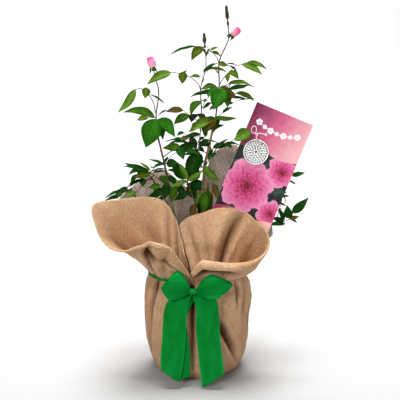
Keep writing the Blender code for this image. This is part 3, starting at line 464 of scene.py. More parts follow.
# radius at the tie, then for each run its compass, the hem's x, y and z in mm, lean in degrees, roll in mm
FLAP_LEFT = (
    (OUT_R, (
        (-93, -12, -103, 200, 30, 0.8), (-109, -29, -110, 230, 38, 1.4), (-122, -47, -120, 254, 44, 3.6),
        (-136, -70, -126, 265, 44, 4.6), (-151, -98, -122, 260, 40, 2.6), (-165, -127, -112, 248, 44, 1.2),
        (-177, -154, -101, 254, 42, 0.8),
    )),
    (IN_R, (
        (-176, -174, -93, 284, 36, 0.6), (-164, -181, -80, 322, 22, 0.6), (-153, -138, -54, 327, 12, 0.6),
        (-142, -86, -40, 329, 4, 0.6), (-131, -58, -42, 320, 2, 0.6), (-120, -42, -50, 299, 2, 0.6),
        (-109, -32, -63, 270, 4, 0.6), (-99, -22, -78, 228, 6, 0.6),
    )),
)
FLAP_RIGHT = (
    (OUT_R, (
        (-92, -10, -103, 205, 26, 3.6), (-73, 11, -112, 229, 34, 7.4), (-58, 38, -121, 228, 60, 7.4),
        (-42, 77, -116, 227, 78, 6.2), (-28, 101, -104, 230, 78, 3.6), (-14, 119, -90, 240, 66, 1.8),
        (-4, 128, -72, 254, 36, 0.8),
    )),
    (IN_R, (
        (-9, 123, -60, 270, 24, 0.6), (-19, 110, -54, 283, 16, 0.6), (-30, 96, -52, 297, 10, 0.6),
        (-41, 79, -50, 305, 6, 0.6), (-51, 57, -52, 311, 6, 0.6), (-61, 32, -52, 310, 4, 0.6),
        (-69, 10, -50, 302, 2, 0.6), (-78, -9, -47, 296, 0, 0.6),
    )),
    (INMOST_R, (
        (-87, -25, -44, 286, 0, 0.6), (-97, -38, -44, 267, 0, 0.6),
    )),
)
FLAP_BACK = (
    (OUT_R, (
        (4, 140, 4, 250, 40, 0.6), (13, 138, 20, 274, 42, 0.6), (26, 125, 50, 320, 36, 0.6),
        (42, 96, 82, 384, 28, 0.6), (58, 72, 92, 409, 22, 0.6), (73, 33, 100, 393, 18, 0.6),
        (86, 16, 102, 352, 18, 0.6), (98, -1, 102, 326, 18, 0.6), (110, -22, 102, 326, 18, 0.6),
        (122, -40, 100, 340, 20, 0.6), (134, -63, 96, 357, 24, 0.6), (146, -97, 83, 350, 30, 0.6),
        (158, -122, 62, 334, 38, 0.6), (168, -143, 40, 318, 42, 0.6), (176, -158, 20, 298, 44, 0.6),
    )),
)

# %% [markdown]
# A flap's folds run from hem to tie, each a valley or a ridge with a fuller ridge or valley at each side.
# Tucks are hollows, most of them under a rolled hem. Both push the cloth out or in across its own surface,
# and both lay painted shade on the cloth there.

# %% Folds and tucks
# where a fold leaves the hem and reaches the tie, as shares of the way round, its depth in mm and its width
FOLDS = {
    "burlap_flap_left": (
        (0.245, 0.27, -12, 0.016), (0.14, 0.18, -6, 0.018), (0.47, 0.5, 3.5, 0.035), (0.8, 0.79, 6, 0.022),
        (0.88, 0.87, 6, 0.018), (0.66, 0.72, 5, 0.04),
    ),
    "burlap_flap_right": (
        (0.61, 0.78, 15, 0.03), (0.46, 0.5, 4, 0.03), (0.83, 0.84, 2.5, 0.025), (0.12, 0.1, -5, 0.018),
        (0.93, 0.93, 3, 0.02),
    ),
    "burlap_flap_back": (
        (0.3, 0.28, 8, 0.02), (0.42, 0.4, -8, 0.02), (0.66, 0.66, 8, 0.02), (0.8, 0.8, -7, 0.02),
        (0.12, 0.14, 6, 0.02),
    ),
}
# share of the way round, share of the way up, depth in mm, half width, half height
TUCKS = {
    "burlap_flap_left": (
        (0.235, 0.62, -13, 0.028, 0.1), (0.145, 0.58, -8, 0.055, 0.035),
    ),
    "burlap_flap_right": (
        # The second tuck on this flap is broad and shallow, mostly painted shade over the left part of its
        # far wall.
        (0.08, 0.59, -13, 0.072, 0.1), (0.86, 0.55, -3, 0.16, 0.45),
    ),
    "burlap_flap_back": (
        (0.5, 0.5, 4, 0.1, 0.2),
    ),
}
NECK_IN, NECK_DOWN = 0.0020, 0.0035  # how far inside and below the tie a run starts, under the ribbon
HEM_SHARE = 0.84  # the share of a column that is the run itself; the rest is its rolled hem
ROLL_TURN = math.radians(230)
# How strongly a tuck adds painted shade, and the depth at which painted shade is full.
PAINTED_TUCK_SHADE, PAINTED_SHADE_DEPTH = 1.6, 0.014


def tuck_at(tucks, s, up):
    """How far the hollows push the cloth out here."""
    return sum(depth / 1000 * math.exp(-(((s - at) / wide) ** 2 + ((up - high) / tall) ** 2))
               for at, high, depth, wide, tall in tucks)


def fold_offsets(folds, s, up):
    """Each fold's depth, and how many of its widths this place is away from it."""
    return [(depth / 1000, abs(s - mix((at_tie, at_hem), up)) / width)
            for at_hem, at_tie, depth, width in folds]


def fold_at(folds, tucks, s, up):
    """How far the folds and tucks push the cloth out here."""
    total = tuck_at(tucks, s, up)
    for depth, off in fold_offsets(folds, s, up):
        total += depth * (math.exp(-off ** 1.4) - 0.25 * math.exp(-((off - 2.4) ** 2)))
    return total * math.sin(math.pi * min(1.0, 0.10 + 0.80 * up))


def painted_fold_shade(folds, tucks, s, up):
    """How much painted shade the cloth gets in its folds and tucks, from 0 to 1."""
    deep = sum(abs(depth) * math.exp(-off ** 1.4) for depth, off in fold_offsets(folds, s, up))
    deep *= math.sin(math.pi * (0.1 + 0.8 * up))
    return min(1.0, (deep + PAINTED_TUCK_SHADE * abs(tuck_at(tucks, s, up))) / PAINTED_SHADE_DEPTH)


# %% Flap surface
def flap_point(runs, side, folds, tucks, s, t):
    """A point of a flap, on the run s of the way round it and t of the way from its neck to its hem's end."""
    compass, radius, x, y, z, lean, roll = along_points(runs, s)
    c = math.radians(compass)
    foot = Vector(((radius - NECK_IN) * math.cos(c), (radius - NECK_IN) * math.sin(c), TIE_Z - NECK_DOWN))
    hem = Vector((x, y, z))
    middle = foot + heading(compass, lean) * (0.45 * (hem - foot).length)
    up = min(1.0, t / HEM_SHARE)
    point = foot.lerp(middle, up).lerp(middle.lerp(hem, up), up)
    before, after = along_points(runs, max(0.0, s - 0.01)), along_points(runs, min(1.0, s + 0.01))
    ahead = (hem - middle).normalized()
    out = (side * ahead.cross(Vector(after[2:5]) - Vector(before[2:5]))).normalized()
    gather = 0.0011 * (math.sin(s * 160) + 0.6 * math.sin(s * 97 + 2)) * (1 - up) ** 2
    buckle = 0.0030 * noise.noise(Vector((x * 26, y * 26, z * 20 + 5 * up))) * math.sin(math.pi * up) ** 0.7
    point += out * (gather + buckle + fold_at(folds, tucks, s, up))
    if t > HEM_SHARE:
        a = ROLL_TURN * (t - HEM_SHARE) / (1 - HEM_SHARE)
        point += out * roll * (1 - math.cos(a)) + ahead * roll * math.sin(a)
    return point


def flap(name, walls, side, finish, node):
    places = [(compass, radius, x / 1000, y / 1000, z / 1000, lean, roll / 1000)
              for radius, wall in walls for compass, x, y, z, lean, roll in wall]
    runs, folds, tucks = curved([Vector(place) for place in places], 8), FOLDS[name], TUCKS[name]
    bm = sheet(16 * (len(places) - 1), 44, lambda s, t: flap_point(runs, side, folds, tucks, s, t),
               shade=lambda s, t: painted_fold_shade(folds, tucks, s, min(1.0, t / HEM_SHARE)))
    return piece(name, bm, [finish], [node], 0.0012)


left = flap("burlap_flap_left", FLAP_LEFT, 1, BURLAP, "wrap_flap_left")
right = flap("burlap_flap_right", FLAP_RIGHT, -1, BURLAP, "wrap_flap_right")
back = flap("burlap_flap_back", FLAP_BACK, -1, BURLAP_OPEN, "wrap_flap_back")
print("flaps:", [len(obj.data.polygons) for obj in (left, right, back)], "faces")

# %% [markdown]
# ## Ribbon
# The bow is a woven satin ribbon: a bright, even green with fine cross ribs, faint streaks of painted sheen
# along its length, and a narrow selvage at both edges. Where two layers lie over each other it looks deeper
# in colour, and that comes from the shading alone.

# %% Satin finish
RIBBON_HALF, RIB_PITCH = 0.0205, 0.0006
SATIN_DEEP, SATIN_BRIGHT, SELVAGE = (0.0, 0.150, 0.016), (0.0, 0.235, 0.030), (0.002, 0.330, 0.050)


def satin():
    made, tree, sockets = finish_of("satin_green", 0.7, shine=0.06)
    place = thread_place(tree)
    split = parts(tree, place)
    ribs = calc(tree, "SINE", times(tree, split[1], math.tau / RIB_PITCH))
    edge = remap(tree, calc(tree, "ABSOLUTE", split[0]), 0.92 * RIBBON_HALF, 0.97 * RIBBON_HALF)
    sheen_streak = remap(tree, rough_noise(tree, stretched(tree, place, (1.0, 0.4, 1.0)), 60.0, 3.0), 0.3, 0.7)
    # Painted sheen: soft lengthwise streaks move the green between a deep and a bright shade.
    color = blend(tree, sheen_streak, SATIN_DEEP, SATIN_BRIGHT)
    set_color(tree, sockets, blend(tree, times(tree, edge, 0.5), color, SELVAGE))
    set_bump(tree, sockets, calc(tree, "MULTIPLY_ADD", ribs, 0.12, sheen_streak), 0.35, 0.0005)
    return made


SATIN = satin()
print("ribbon finish:", SATIN.name)

# %% [markdown]
# The ribbon is gathered to a cord where it goes round the neck, and slopes down to the knot below. A cord is
# a sheet rolled into a tube: each ring of the grid stands square to the route, so the tube doesn't twist.
# The knot is a ball of ribbon wrapped round the crossing, with folds that run over it.

# %% Tubes
def tube(points, radii, sides=8, bm=None, material=0):
    """Adds a round tube through points, with its own radius at each, closed at both ends."""
    frames, side = [], None
    for i, point in enumerate(points):
        ahead = (points[min(i + 1, len(points) - 1)] - points[max(i - 1, 0)]).normalized()
        side = side or ahead.orthogonal()
        side = (side - ahead * side.dot(ahead)).normalized()
        frames.append((point, side, ahead.cross(side)))

    def place(s, t):
        i = round(t * (len(points) - 1))
        point, out, over = frames[i]
        a = math.tau * s
        return point + (out * math.cos(a) + over * math.sin(a)) * radii[i]

    bm = bm or bmesh.new()
    before = set(bm.verts)
    sheet(sides, len(points) - 1, place, bm, material)
    made = [vert for vert in bm.verts if vert not in before]
    bmesh.ops.remove_doubles(bm, verts=made, dist=1e-6)
    rims = {edge for vert in made if vert.is_valid for edge in vert.link_edges if edge.is_boundary}
    for face in bmesh.ops.holes_fill(bm, edges=list(rims), sides=sides)["faces"]:
        face.material_index = material
    return bm


def tapered(path, foot, tip):
    """A radius for each point of a path, from the foot's to the tip's in equal steps."""
    return [mix((foot, tip), i / (len(path) - 1)) for i in range(len(path))]


# %% Knot and band
KNOT, KNOT_HALF = mm((-6.5, -108, 173.8)), mm((8.6, 6.6, 6.2))
BAND_R, BAND_Z = TIE_R + 0.0034, TIE_Z - 0.0005
BAND_START, BAND_TURN, BAND_STEPS = -78, 336, 96  # degrees from one side of the knot round to the other


def knot():
    bm = bmesh.new()
    bm.loops.layers.uv.new("cloth")
    ball = bmesh.ops.create_uvsphere(bm, u_segments=40, v_segments=28, radius=1.0)["verts"]
    for vert in ball:
        way = vert.co.normalized()
        fold = 0.07 * math.sin(9 * way.x + 2.2 * way.z) + 0.06 * noise.noise(4 * way)
        waist = 1 - 0.16 * math.exp(-(way.x / 0.25) ** 2)
        vert.co = KNOT + Vector([size * along * (waist + fold) for size, along in zip(KNOT_HALF, way)])
    finish_faces(ball)
    return piece("bow_knot_ribbon", bm, [SATIN], ["bow_knot"])


def band():
    turns = [math.radians(BAND_START + BAND_TURN * i / BAND_STEPS) for i in range(BAND_STEPS + 1)]
    ring = [Vector((BAND_R * math.cos(c), BAND_R * math.sin(c), BAND_Z)) for c in turns]
    route = [KNOT + mm((4.5, 6.4, -0.5)), *ring, KNOT + mm((-4.5, 6.4, -0.5))]
    bm = tube(route, [0.0022] * len(route), 14)
    for vert in bm.verts:
        c, lift = math.atan2(vert.co.y, vert.co.x), vert.co.z - BAND_Z
        vert.co.z += 0.0004 * math.sin(900 * lift + 5 * c) + 0.0010 * noise.noise(Vector((4 * c, 0, 1)))
    outward(bm)
    return piece("bow_band", bm, [SATIN], ["ribbon_band"])


print("knot and band:", [len(obj.data.polygons) for obj in (knot(), band())], "faces")

# %% [markdown]
# The ribbon is pinched at the knot, and opens to its full width in the loops and tails. Each stretch is one
# sheet. A loop runs out, turns at a pointed fold and comes back behind itself, with soft flutes that spread
# from the knot. It is described by three places from the knot: its tip, and the outermost places of its
# upper and lower edge.

# %% Loops
RIBBON_THICK = 0.0005


def loop_point(side, tip, crown, foot, s, t):
    turn = math.tau * (0.045 + 0.91 * t)
    out = 0.5 * (1 - math.cos(turn))
    across = 0.0105 * math.sin(turn) * (0.35 + 0.65 * out)
    v = 1 - 2 * s
    full = math.sin(0.5 * math.pi * out) ** 0.75
    edge = crown if v > 0 else foot
    x = KNOT.x + side * (0.0050 * (1 - out) + (tip[0] + (edge[0] - tip[0]) * abs(v) ** 1.3) * out)
    z = KNOT.z + tip[1] * out * (1 - abs(v)) + (0.0026 * v * (1 - full) + edge[1] * abs(v) * full)
    flute = 0.0020 * math.cos(8.5 * v + side) * (1 - out) + 0.0024 * out * math.cos(2.6 * v)
    crumple = 0.0024 * noise.noise(Vector((4 * v, 6 * t, side * 3 + 1.5)))
    return x, KNOT.y - 0.0012 - across - 0.008 * out - flute - crumple - 0.001 * v, z + 0.5 * crumple * out


def bow_loop(name, side, tip, crown, foot):
    bm = sheet(28, 84, lambda s, t: loop_point(side, tip, crown, foot, s, t))
    return piece(name + "_ribbon", bm, [SATIN], [name], RIBBON_THICK)


bow_loop("bow_loop_left", -1, (0.0555, 0.009), (0.0300, 0.0385), (0.0440, -0.0120))
bow_loop("bow_loop_right", 1, (0.0690, 0.016), (0.0385, 0.0320), (0.0430, -0.0110))

# %% [markdown]
# A tail follows a short list of places, each with the ribbon's half width there, and ends in a slanting cut.
# Flutes run down from the knot and fade into a slow curl and wave.

# %% Tails
# x, y, z, half width, and how far the left corner hangs below the right one, in mm, from the knot down
TAILS = {
    "ribbon_tail_left": (
        (-11, -102, 167.5, 4.5, 0), (-27, -104, 161.5, 17, 0), (-33.5, -107.5, 151.5, 20, 0),
        (-37.5, -111.5, 136, 20.5, 0), (-39, -114.5, 113, 20.8, 0), (-40.5, -116.5, 88, 20.8, 0),
        (-42.5, -117.5, 62, 20.6, -5), (-44.5, -119.5, 38, 19.6, -13), (-46.5, -122.5, 12.6, 17, -21.3),
    ),
    "ribbon_tail_right": (
        (-1, -102, 167.5, 4.5, 0), (11, -104, 161.5, 17, 0), (16.5, -107.5, 151.5, 20, 0),
        (18.6, -111.5, 136, 20, 0), (19, -114.5, 113, 20.8, 0), (20.5, -116.5, 88, 20.8, 0),
        (23.5, -118.5, 64, 20.8, 6), (26.2, -121.5, 46, 20.2, 17), (28.4, -125, 29, 19.4, 27),
    ),
    "ribbon_tail_under": (
        (-6, -98.5, 166.5, 3.5, 0), (-8.5, -97.5, 156, 5.5, 0), (-20, -104, 144, 9, 0),
        (-28.5, -107.5, 128, 11, 0), (-30, -109, 108, 12.5, 0), (-28.5, -110, 86, 14, 0),
        (-27.5, -110, 62, 15.5, 0), (-27.5, -110.5, 40, 16, 2), (-28, -111.5, 18, 16, 6),
    ),
}

def tail_point(path, s, t):
    x, y, z, half, slant = along_points(path, t)
    v = 2 * s - 1
    flute = 0.0020 * math.cos(8 * v + 1) * (1 - ease(t / 0.4)) + 0.0016 * math.cos(2.4 * v) * ease(t / 0.3)
    wave = 0.0016 * math.sin(7 * t + 2 * v) + 0.0016 * noise.noise(Vector((2 * v, 9 * t, x * 20)))
    return x + half * v, y - flute - wave * ease(2 * t), z - slant * (0.5 - 0.5 * v)


for name, places in TAILS.items():
    path = curved([mm(place) for place in places], 8)
    bm = sheet(24, 72, lambda s, t: tail_point(path, s, t))
    piece(name + "_satin", bm, [SATIN], [name], RIBBON_THICK)
print("bow: 2 loops and", len(TAILS), "tails")

# %% [markdown]
# ## Label card
# The card keeps the shape of its solid: a copy of that mesh is merged, its flat faces joined and its edges
# rounded a little. The face towards the bow carries a print, worked out from the card's own axes, which a
# Mapping node finds by undoing the card's place and tilt. It shows a heading in a magenta to pink wash with
# a garland of small pale flowers on an arc, layered pink blossoms on a dark ground, and a peach foot. One
# node group draws a ring of petals, and a blossom is seven rings, each smaller and deeper in colour.

# %% Petal ring group
def petal_group():
    """One ring of round petals: a mask, and how far out a spot lies on its petals."""
    inputs = (("Place", "Vector"), ("Radius", "Float"), ("Petals", "Float"), ("Turn", "Float"))
    tree, given, result = group_of("petal ring", inputs, ("Mask", "Shade"))
    split = parts(tree, given["Place"])
    angle = calc(tree, "ARCTAN2", split[2], split[0])
    squares = [calc(tree, "POWER", split[i], 2.0) for i in (0, 2)]
    length = calc(tree, "SQRT", calc(tree, "ADD", *squares))
    half = times(tree, given["Petals"], 0.5)
    lobe = calc(tree, "ABSOLUTE", calc(tree, "SINE", calc(tree, "MULTIPLY_ADD", angle, half, given["Turn"])))
    rounded = calc(tree, "MULTIPLY_ADD", calc(tree, "POWER", lobe, 0.5), 0.28, 0.72)
    share = calc(tree, "DIVIDE", length, times(tree, given["Radius"], rounded))
    seam = remap(tree, lobe, 0.0, 0.4, 0.62, 1.0)
    fill(tree, result, (remap(tree, share, 1.02, 0.98), times(tree, share, seam)))
    return tree


PETAL_RING = petal_group()
print("petal ring:", len(PETAL_RING.nodes), "nodes")

# %% Blossoms
RINGS = 7
BLOSSOMS = (  # middle in the card's axes, radius, how many petals in its outer ring
    (-0.014, -0.148, 0.050, 7), (0.036, -0.101, 0.030, 6), (0.045, -0.180, 0.026, 6),
)


def blossom(tree, ground, place, x, z, radius, petals):
    """A layered blossom over a ground. Each ring is darker where it dips under the next."""
    spot = add(tree, "VectorMath", place, (-x, 0.0, -z), operation="ADD")
    for i in range(RINGS):
        mask, shade = use_group(tree, PETAL_RING, spot, radius * (1 - 0.135 * i), petals - (i > 2), 0.9 * i)
        inner = (0.46 - 0.045 * i, 0.015 - 0.002 * i, 0.13 - 0.018 * i)
        outer = (0.92 - 0.03 * i, 0.33 * 0.74 ** i, 0.57 * 0.85 ** i)
        ground = blend(tree, mask, ground, blend(tree, remap(tree, shade, 0.62, 1.0), inner, outer))
    return ground


# %% Heading
CARD_WIDTH = 0.111
MAGENTA, ROSE = (0.18, 0.008, 0.060), (0.62, 0.12, 0.24)
PALE_ROSE, GARLAND = (0.86, 0.46, 0.48), (0.95, 0.84, 0.87)
ARC_TOP, ARC_BEND, ARC_HALF = -0.040, 6.0, 0.040  # the garland's middle, how its ends rise, half its width
FLOWERS, FLOWER_STEP, FLOWER_RADII = 7, 0.0125, (0.0062, 0.0042)


def heading_wash(tree, turned, across, down):
    """The heading's colours from one corner to the other, with a garland of small flowers on a thin arc."""
    grain = rough_noise(tree, turned, 60.0, 4.0)
    wash = calc(tree, "MULTIPLY_ADD", across, 1 / CARD_WIDTH, calc(tree, "MULTIPLY_ADD", down, -3.0, 0.36))
    wash = calc(tree, "MULTIPLY_ADD", grain, 0.35, wash)
    color = blend(tree, remap(tree, wash, 0.1, 0.65), MAGENTA, ROSE)
    color = blend(tree, remap(tree, wash, 0.6, 1.15), color, PALE_ROSE)
    arc = calc(tree, "MULTIPLY_ADD", calc(tree, "POWER", across, 2.0), ARC_BEND, ARC_TOP)
    off = calc(tree, "ABSOLUTE", calc(tree, "SUBTRACT", down, arc))
    inside = remap(tree, calc(tree, "ABSOLUTE", across), ARC_HALF, ARC_HALF + 0.001, 1.0, 0.0)
    mark = times(tree, inside, remap(tree, off, 0.0005, 0.0010, 1.0, 0.0))
    for i in range(FLOWERS):
        x = FLOWER_STEP * (i - FLOWERS // 2)
        spot = add(tree, "VectorMath", turned, (-x, 0.0, -ARC_TOP - ARC_BEND * x * x), operation="ADD")
        mask, shade = use_group(tree, PETAL_RING, spot, FLOWER_RADII[i % 2], 5, 0.7 * i)
        mark = calc(tree, "MAXIMUM", mark, times(tree, mask, remap(tree, shade, 0.22, 0.30)))
    return blend(tree, mark, color, GARLAND)


# %% Card print
CARD_FRAME = (Matrix.Translation((0.160, 0.000, 0.4765)) @ Matrix.Rotation(math.radians(22.5), 4, "Y")
              @ Matrix.Rotation(math.radians(-5), 4, "X"))
HEADING_END, FOOT_START, PRINT_EDGE = -0.080, -0.196, 0.0006  # below the card's upper edge; how sharp it is
NIGHT, LEAFY = (0.008, 0.012, 0.011), (0.030, 0.060, 0.040)
WINE, CORAL, PEACH = (0.34, 0.02, 0.10), (0.86, 0.24, 0.22), (0.93, 0.50, 0.44)


def card_print():
    made, tree, sockets = finish_of("card_print", 0.32, coat_weight=0.15, coat_roughness=0.2)
    undo = CARD_FRAME.inverted()
    turned = add(tree, "Mapping", object_place(tree), tuple(undo.translation), tuple(undo.to_euler()))
    across, _, down = parts(tree, turned)
    art = blend(tree, remap(tree, rough_noise(tree, turned, 55.0, 1.0), 0.48, 0.62), NIGHT, LEAFY)
    frilled = bent(tree, turned, 130.0, 0.010)
    for row in BLOSSOMS:
        art = blossom(tree, art, frilled, *row)
    foot = blend(tree, remap(tree, across, -0.05, -0.005), WINE, CORAL)
    foot = blend(tree, remap(tree, across, -0.01, 0.045), foot, PEACH)
    wavy = calc(tree, "MULTIPLY_ADD", calc(tree, "SINE", times(tree, across, 75.0)), 0.003, down)
    head = heading_wash(tree, turned, across, down)
    art = blend(tree, remap(tree, wavy, HEADING_END, HEADING_END + PRINT_EDGE), art, head)
    set_color(tree, sockets, blend(tree, remap(tree, wavy, FOOT_START, FOOT_START - PRINT_EDGE), art, foot))
    return made


# %% Card
def plain(name, color, roughness, metallic=0.0, grain=0.1, scale=300.0, **uniform):
    """A quiet finish with a little grain in its colour and surface."""
    made, tree, sockets = finish_of(name, roughness, metallic, **uniform)
    speckle = remap(tree, rough_noise(tree, object_place(tree), scale, 3.0), 0.3, 0.7)
    set_color(tree, sockets, blend(tree, speckle, scaled_color(color, 1 - 2 * grain), color))
    set_bump(tree, sockets, speckle, 0.25, 0.0003)
    return made


def label():
    bm = bmesh.new()
    bm.from_mesh(nodes["label_card"].data)
    bmesh.ops.remove_doubles(bm, verts=bm.verts, dist=1e-5)
    bmesh.ops.dissolve_limit(bm, angle_limit=math.radians(1), verts=bm.verts, edges=bm.edges)
    sharp = [edge for edge in bm.edges if len(edge.link_faces) == 2 and edge.calc_face_angle(0) > 1]
    bmesh.ops.bevel(bm, geom=sharp, offset=0.0002, offset_type="OFFSET", segments=2, profile=0.5,
                    affect="EDGES", material=-1)
    outward(bm)
    front = CARD_FRAME.to_3x3() @ Vector((0, -1, 0))
    for face in bm.faces:
        face.material_index = int(face.normal.dot(front) > 0.9)
        face.smooth = False
    return piece("picture_label", bm, [plain("card_back", (0.82, 0.78, 0.76), 0.5), card_print()],
                 ["label_card"])


print("label:", len(label().data.polygons), "faces")

# %% [markdown]
# ## Charm
# The charm is a cast metal disc with a raised rim and an openwork rosette: rings of small domed petals and
# beads that stand on a darker, rougher ground, as wear brightens what stands proud. The disc is a spun
# profile, with an eye under its rim: a silver ring round a solid core in the darker finish, which stands in
# for the hole as painted shade. A thin pale ribbon runs through the eye, round one open loop and out through
# the card.

# %% Spun shapes
def spun(bm, profile, steps=72, material=0):
    """Turns a closed or open profile of (radius, depth) about the Y axis."""
    ring = [bm.verts.new((r, y, 0)) for r, y in profile]
    edges = [bm.edges.new(ends) for ends in zip(ring, ring[1:])]
    before = set(bm.faces)
    bmesh.ops.spin(bm, geom=ring + edges, cent=(0, 0, 0), axis=(0, 1, 0), angle=math.tau, steps=steps,
                   use_merge=True)
    for face in set(bm.faces) - before:
        face.material_index = material
        face.smooth = True


# %% Charm disc
CHARM_AT, CHARM_R, CHARM_HALF = mm((107, -12.5, 408)), 0.0232, 0.0011
FLOOR = -CHARM_HALF + 0.0004  # the ground between the rosette's petals
EYE_IN, EYE_CLEAR, EYE_R = 0.0042, 0.0045, 0.0019  # the eye, whose dark core stands in for a hole as painted shade: in from the rim, its bare surround, its radius
EYE_PLACE = Vector((0, FLOOR, CHARM_R - EYE_IN))
SILVER = plain("charm_bright", (0.90, 0.90, 0.88), 0.35, 0.35, 0.05, 900.0)
TARNISH = plain("charm_recess", (0.34, 0.34, 0.33), 0.6, 0.2, 0.25, 900.0)
# radius, how many petals or beads, their half length and half width, in mm, and where the ring starts
ROSETTE = (
    (4.2, 7, 2.5, 1.6, 0), (8.8, 12, 2.6, 1.7, 0.3), (13.4, 18, 2.5, 1.8, 0), (17.9, 25, 2.3, 1.7, 0.1),
    (11, 12, 0.9, 0.9, 0.3), (15.6, 18, 0.9, 0.9, 0.17),
)


def rosette(bm):
    for radius, count, length, width, start in ROSETTE:
        for i in range(count):
            a = math.tau * i / count + start
            middle = Vector((radius / 1000 * math.cos(a), FLOOR, radius / 1000 * math.sin(a)))
            if (middle - EYE_PLACE).length > EYE_CLEAR:
                place = Matrix.Translation(middle) @ Matrix.Rotation(-a, 4, "Y")
                shape = Matrix.Diagonal((length / 1000, 0.0006, width / 1000, 1))
                bmesh.ops.create_icosphere(bm, subdivisions=2, radius=1.0, matrix=place @ shape)


def charm_disc():
    bm = bmesh.new()
    spun(bm, [(EYE_R, FLOOR), (CHARM_R - 0.0020, FLOOR)], material=1)
    spun(bm, [(CHARM_R - 0.0020, FLOOR), (CHARM_R - 0.0017, -CHARM_HALF - 0.0003),
              (CHARM_R - 0.0005, -CHARM_HALF - 0.0003), (CHARM_R, -CHARM_HALF), (CHARM_R, CHARM_HALF),
              (CHARM_R - 0.0006, CHARM_HALF + 0.0002), (EYE_R, CHARM_HALF + 0.0002), (EYE_R, FLOOR)])
    rosette(bm)
    for face in bm.faces:
        face.smooth = True
    eye = Matrix.Translation(EYE_PLACE) @ Matrix.Rotation(math.pi / 2, 4, "X")
    # The eye: a silver ring round a longer core in the recess finish, whose dark caps stand in for the hole
    # as painted shade.
    for foot_r, top_r, depth, material in ((0.0031, 0.0026, 0.0014, 0), (0.0017, 0.0017, 0.0016, 1)):
        made = bmesh.ops.create_cone(bm, cap_ends=True, segments=24, radius1=foot_r, radius2=top_r,
                                     depth=depth, matrix=eye)["verts"]
        for face in {face for vert in made for face in vert.link_faces}:
            face.material_index = material
    merge(bm)
    outward(bm)
    bm.transform(Matrix.Translation(CHARM_AT) @ CARD_FRAME.to_3x3().to_4x4())
    return piece("charm_rosette", bm, [SILVER, TARNISH], ["charm_disc"])


print("charm:", len(charm_disc().data.polygons), "faces")

# %% Charm ribbon
CHARM_HOLE = CHARM_AT + Vector((0, 0, CHARM_R - EYE_IN))
CARD_HOLE = CARD_FRAME @ mm((-17.8, 0, -48.5))
THROUGH = CARD_FRAME.to_3x3() @ Vector((0, 1, 0))
TIE = CHARM_HOLE + mm((1, -3, 11.8))
STRING_R, TIE_KNOT_R = 0.0010, 0.0019


def charm_string():
    route = [CHARM_HOLE + 0.0027 * THROUGH, CHARM_HOLE - 0.0033 * THROUGH, CHARM_HOLE + mm((0, -3.6, 6)), TIE]
    for i in range(11):
        a = math.radians(-70 + 32 * i)
        route.append(TIE + mm((-5.2 + 4.6 * math.cos(a), 0.06 * i, 9.8 + 6.6 * math.sin(a))))
    route += [TIE + mm((4, 2.8, 3)), TIE + mm((10, 3, 2))]
    route += [CARD_HOLE - 0.0040 * THROUGH, CARD_HOLE + 0.0035 * THROUGH]
    points = curved(route, 4)
    bm = tube(points, [STRING_R] * len(points))
    bmesh.ops.create_uvsphere(bm, u_segments=12, v_segments=8, radius=TIE_KNOT_R,
                              matrix=Matrix.Translation(TIE))
    for face in bm.faces:
        face.smooth = True
    outward(bm)
    pink = plain("charm_ribbon_pink", (0.90, 0.66, 0.76), 0.5, sheen_weight=0.3)
    return piece("charm_string", bm, [pink], ["charm_ribbon"])


print("charm ribbon:", len(charm_string().data.polygons), "faces")

# %% [markdown]
# ## Pot and compost
# The nursery pot hides inside the burlap, but it is a real pot: a spun wall with a thick rounded rim. The
# compost is a spun mound whose surface is broken up by noise, with loose granules of bark and grit scattered
# on it by a seeded rule.

# %% Turned pieces
def turned(name, profile, finish, slot, node, steps=96, roughen=None):
    """A piece spun from a profile of (radius, height)."""
    bm = bmesh.new()
    spun(bm, profile, steps)
    bm.transform(Matrix.Rotation(math.pi / 2, 4, "X"))
    merge(bm)
    if roughen:
        roughen(bm)
    outward(bm)
    return piece(name, bm, [finish], [node])


# %% Pot
# radius and height, in mm, from the middle of the inside over the rim to the middle of the underside
POT_PROFILE = (
    (0, 5.8), (54, 5.8), (55.5, 7.5), (71.5, 160), (74, 166.5), (75.5, 167.8), (77.5, 168), (78.8, 166.8),
    (79, 165), (79, 156.5), (77.5, 155), (76, 154), (58.5, 5), (57.5, 3.4), (56, 3.4), (55, 4.5), (0, 4.5),
)
POT_BLACK = plain("pot_black", (0.022, 0.022, 0.024), 0.45, grain=0.15, scale=60.0)
pot = turned("nursery_pot", [mm(spot) for spot in POT_PROFILE], POT_BLACK, "pot_plastic", "pot")
print("pot:", len(pot.data.polygons), "faces")

# %% Compost
COMPOST_Z, COMPOST_FOOT_Z, MOUND_STEP, MOUND_RINGS = 0.158, 0.0062, 0.0022, 33
GRANULES, SCATTER_R, GRANULE_Z = 520, 0.068, 0.1583
DARK_SOIL, PALE_SOIL = (0.018, 0.011, 0.007), (0.085, 0.055, 0.036)


def compost_finish():
    made, tree, sockets = finish_of("compost_dark", 0.95)
    clump = remap(tree, rough_noise(tree, object_place(tree), 420.0, 4.0), 0.35, 0.65)
    set_color(tree, sockets, blend(tree, clump, DARK_SOIL, PALE_SOIL))
    set_bump(tree, sockets, clump, 0.9, 0.0012)
    return made


def crumble(bm):
    """Breaks up the top of the mound, which rises a little in the middle."""
    for vert in bm.verts:
        if vert.co.z > COMPOST_Z - 0.003:
            lump = noise.noise(vert.co * 90) + 0.5 * noise.noise(vert.co * 260)
            vert.co.z += 0.0016 * lump - 0.0012 + 0.003 * math.exp(-(vert.co.xy.length / 0.03) ** 2)


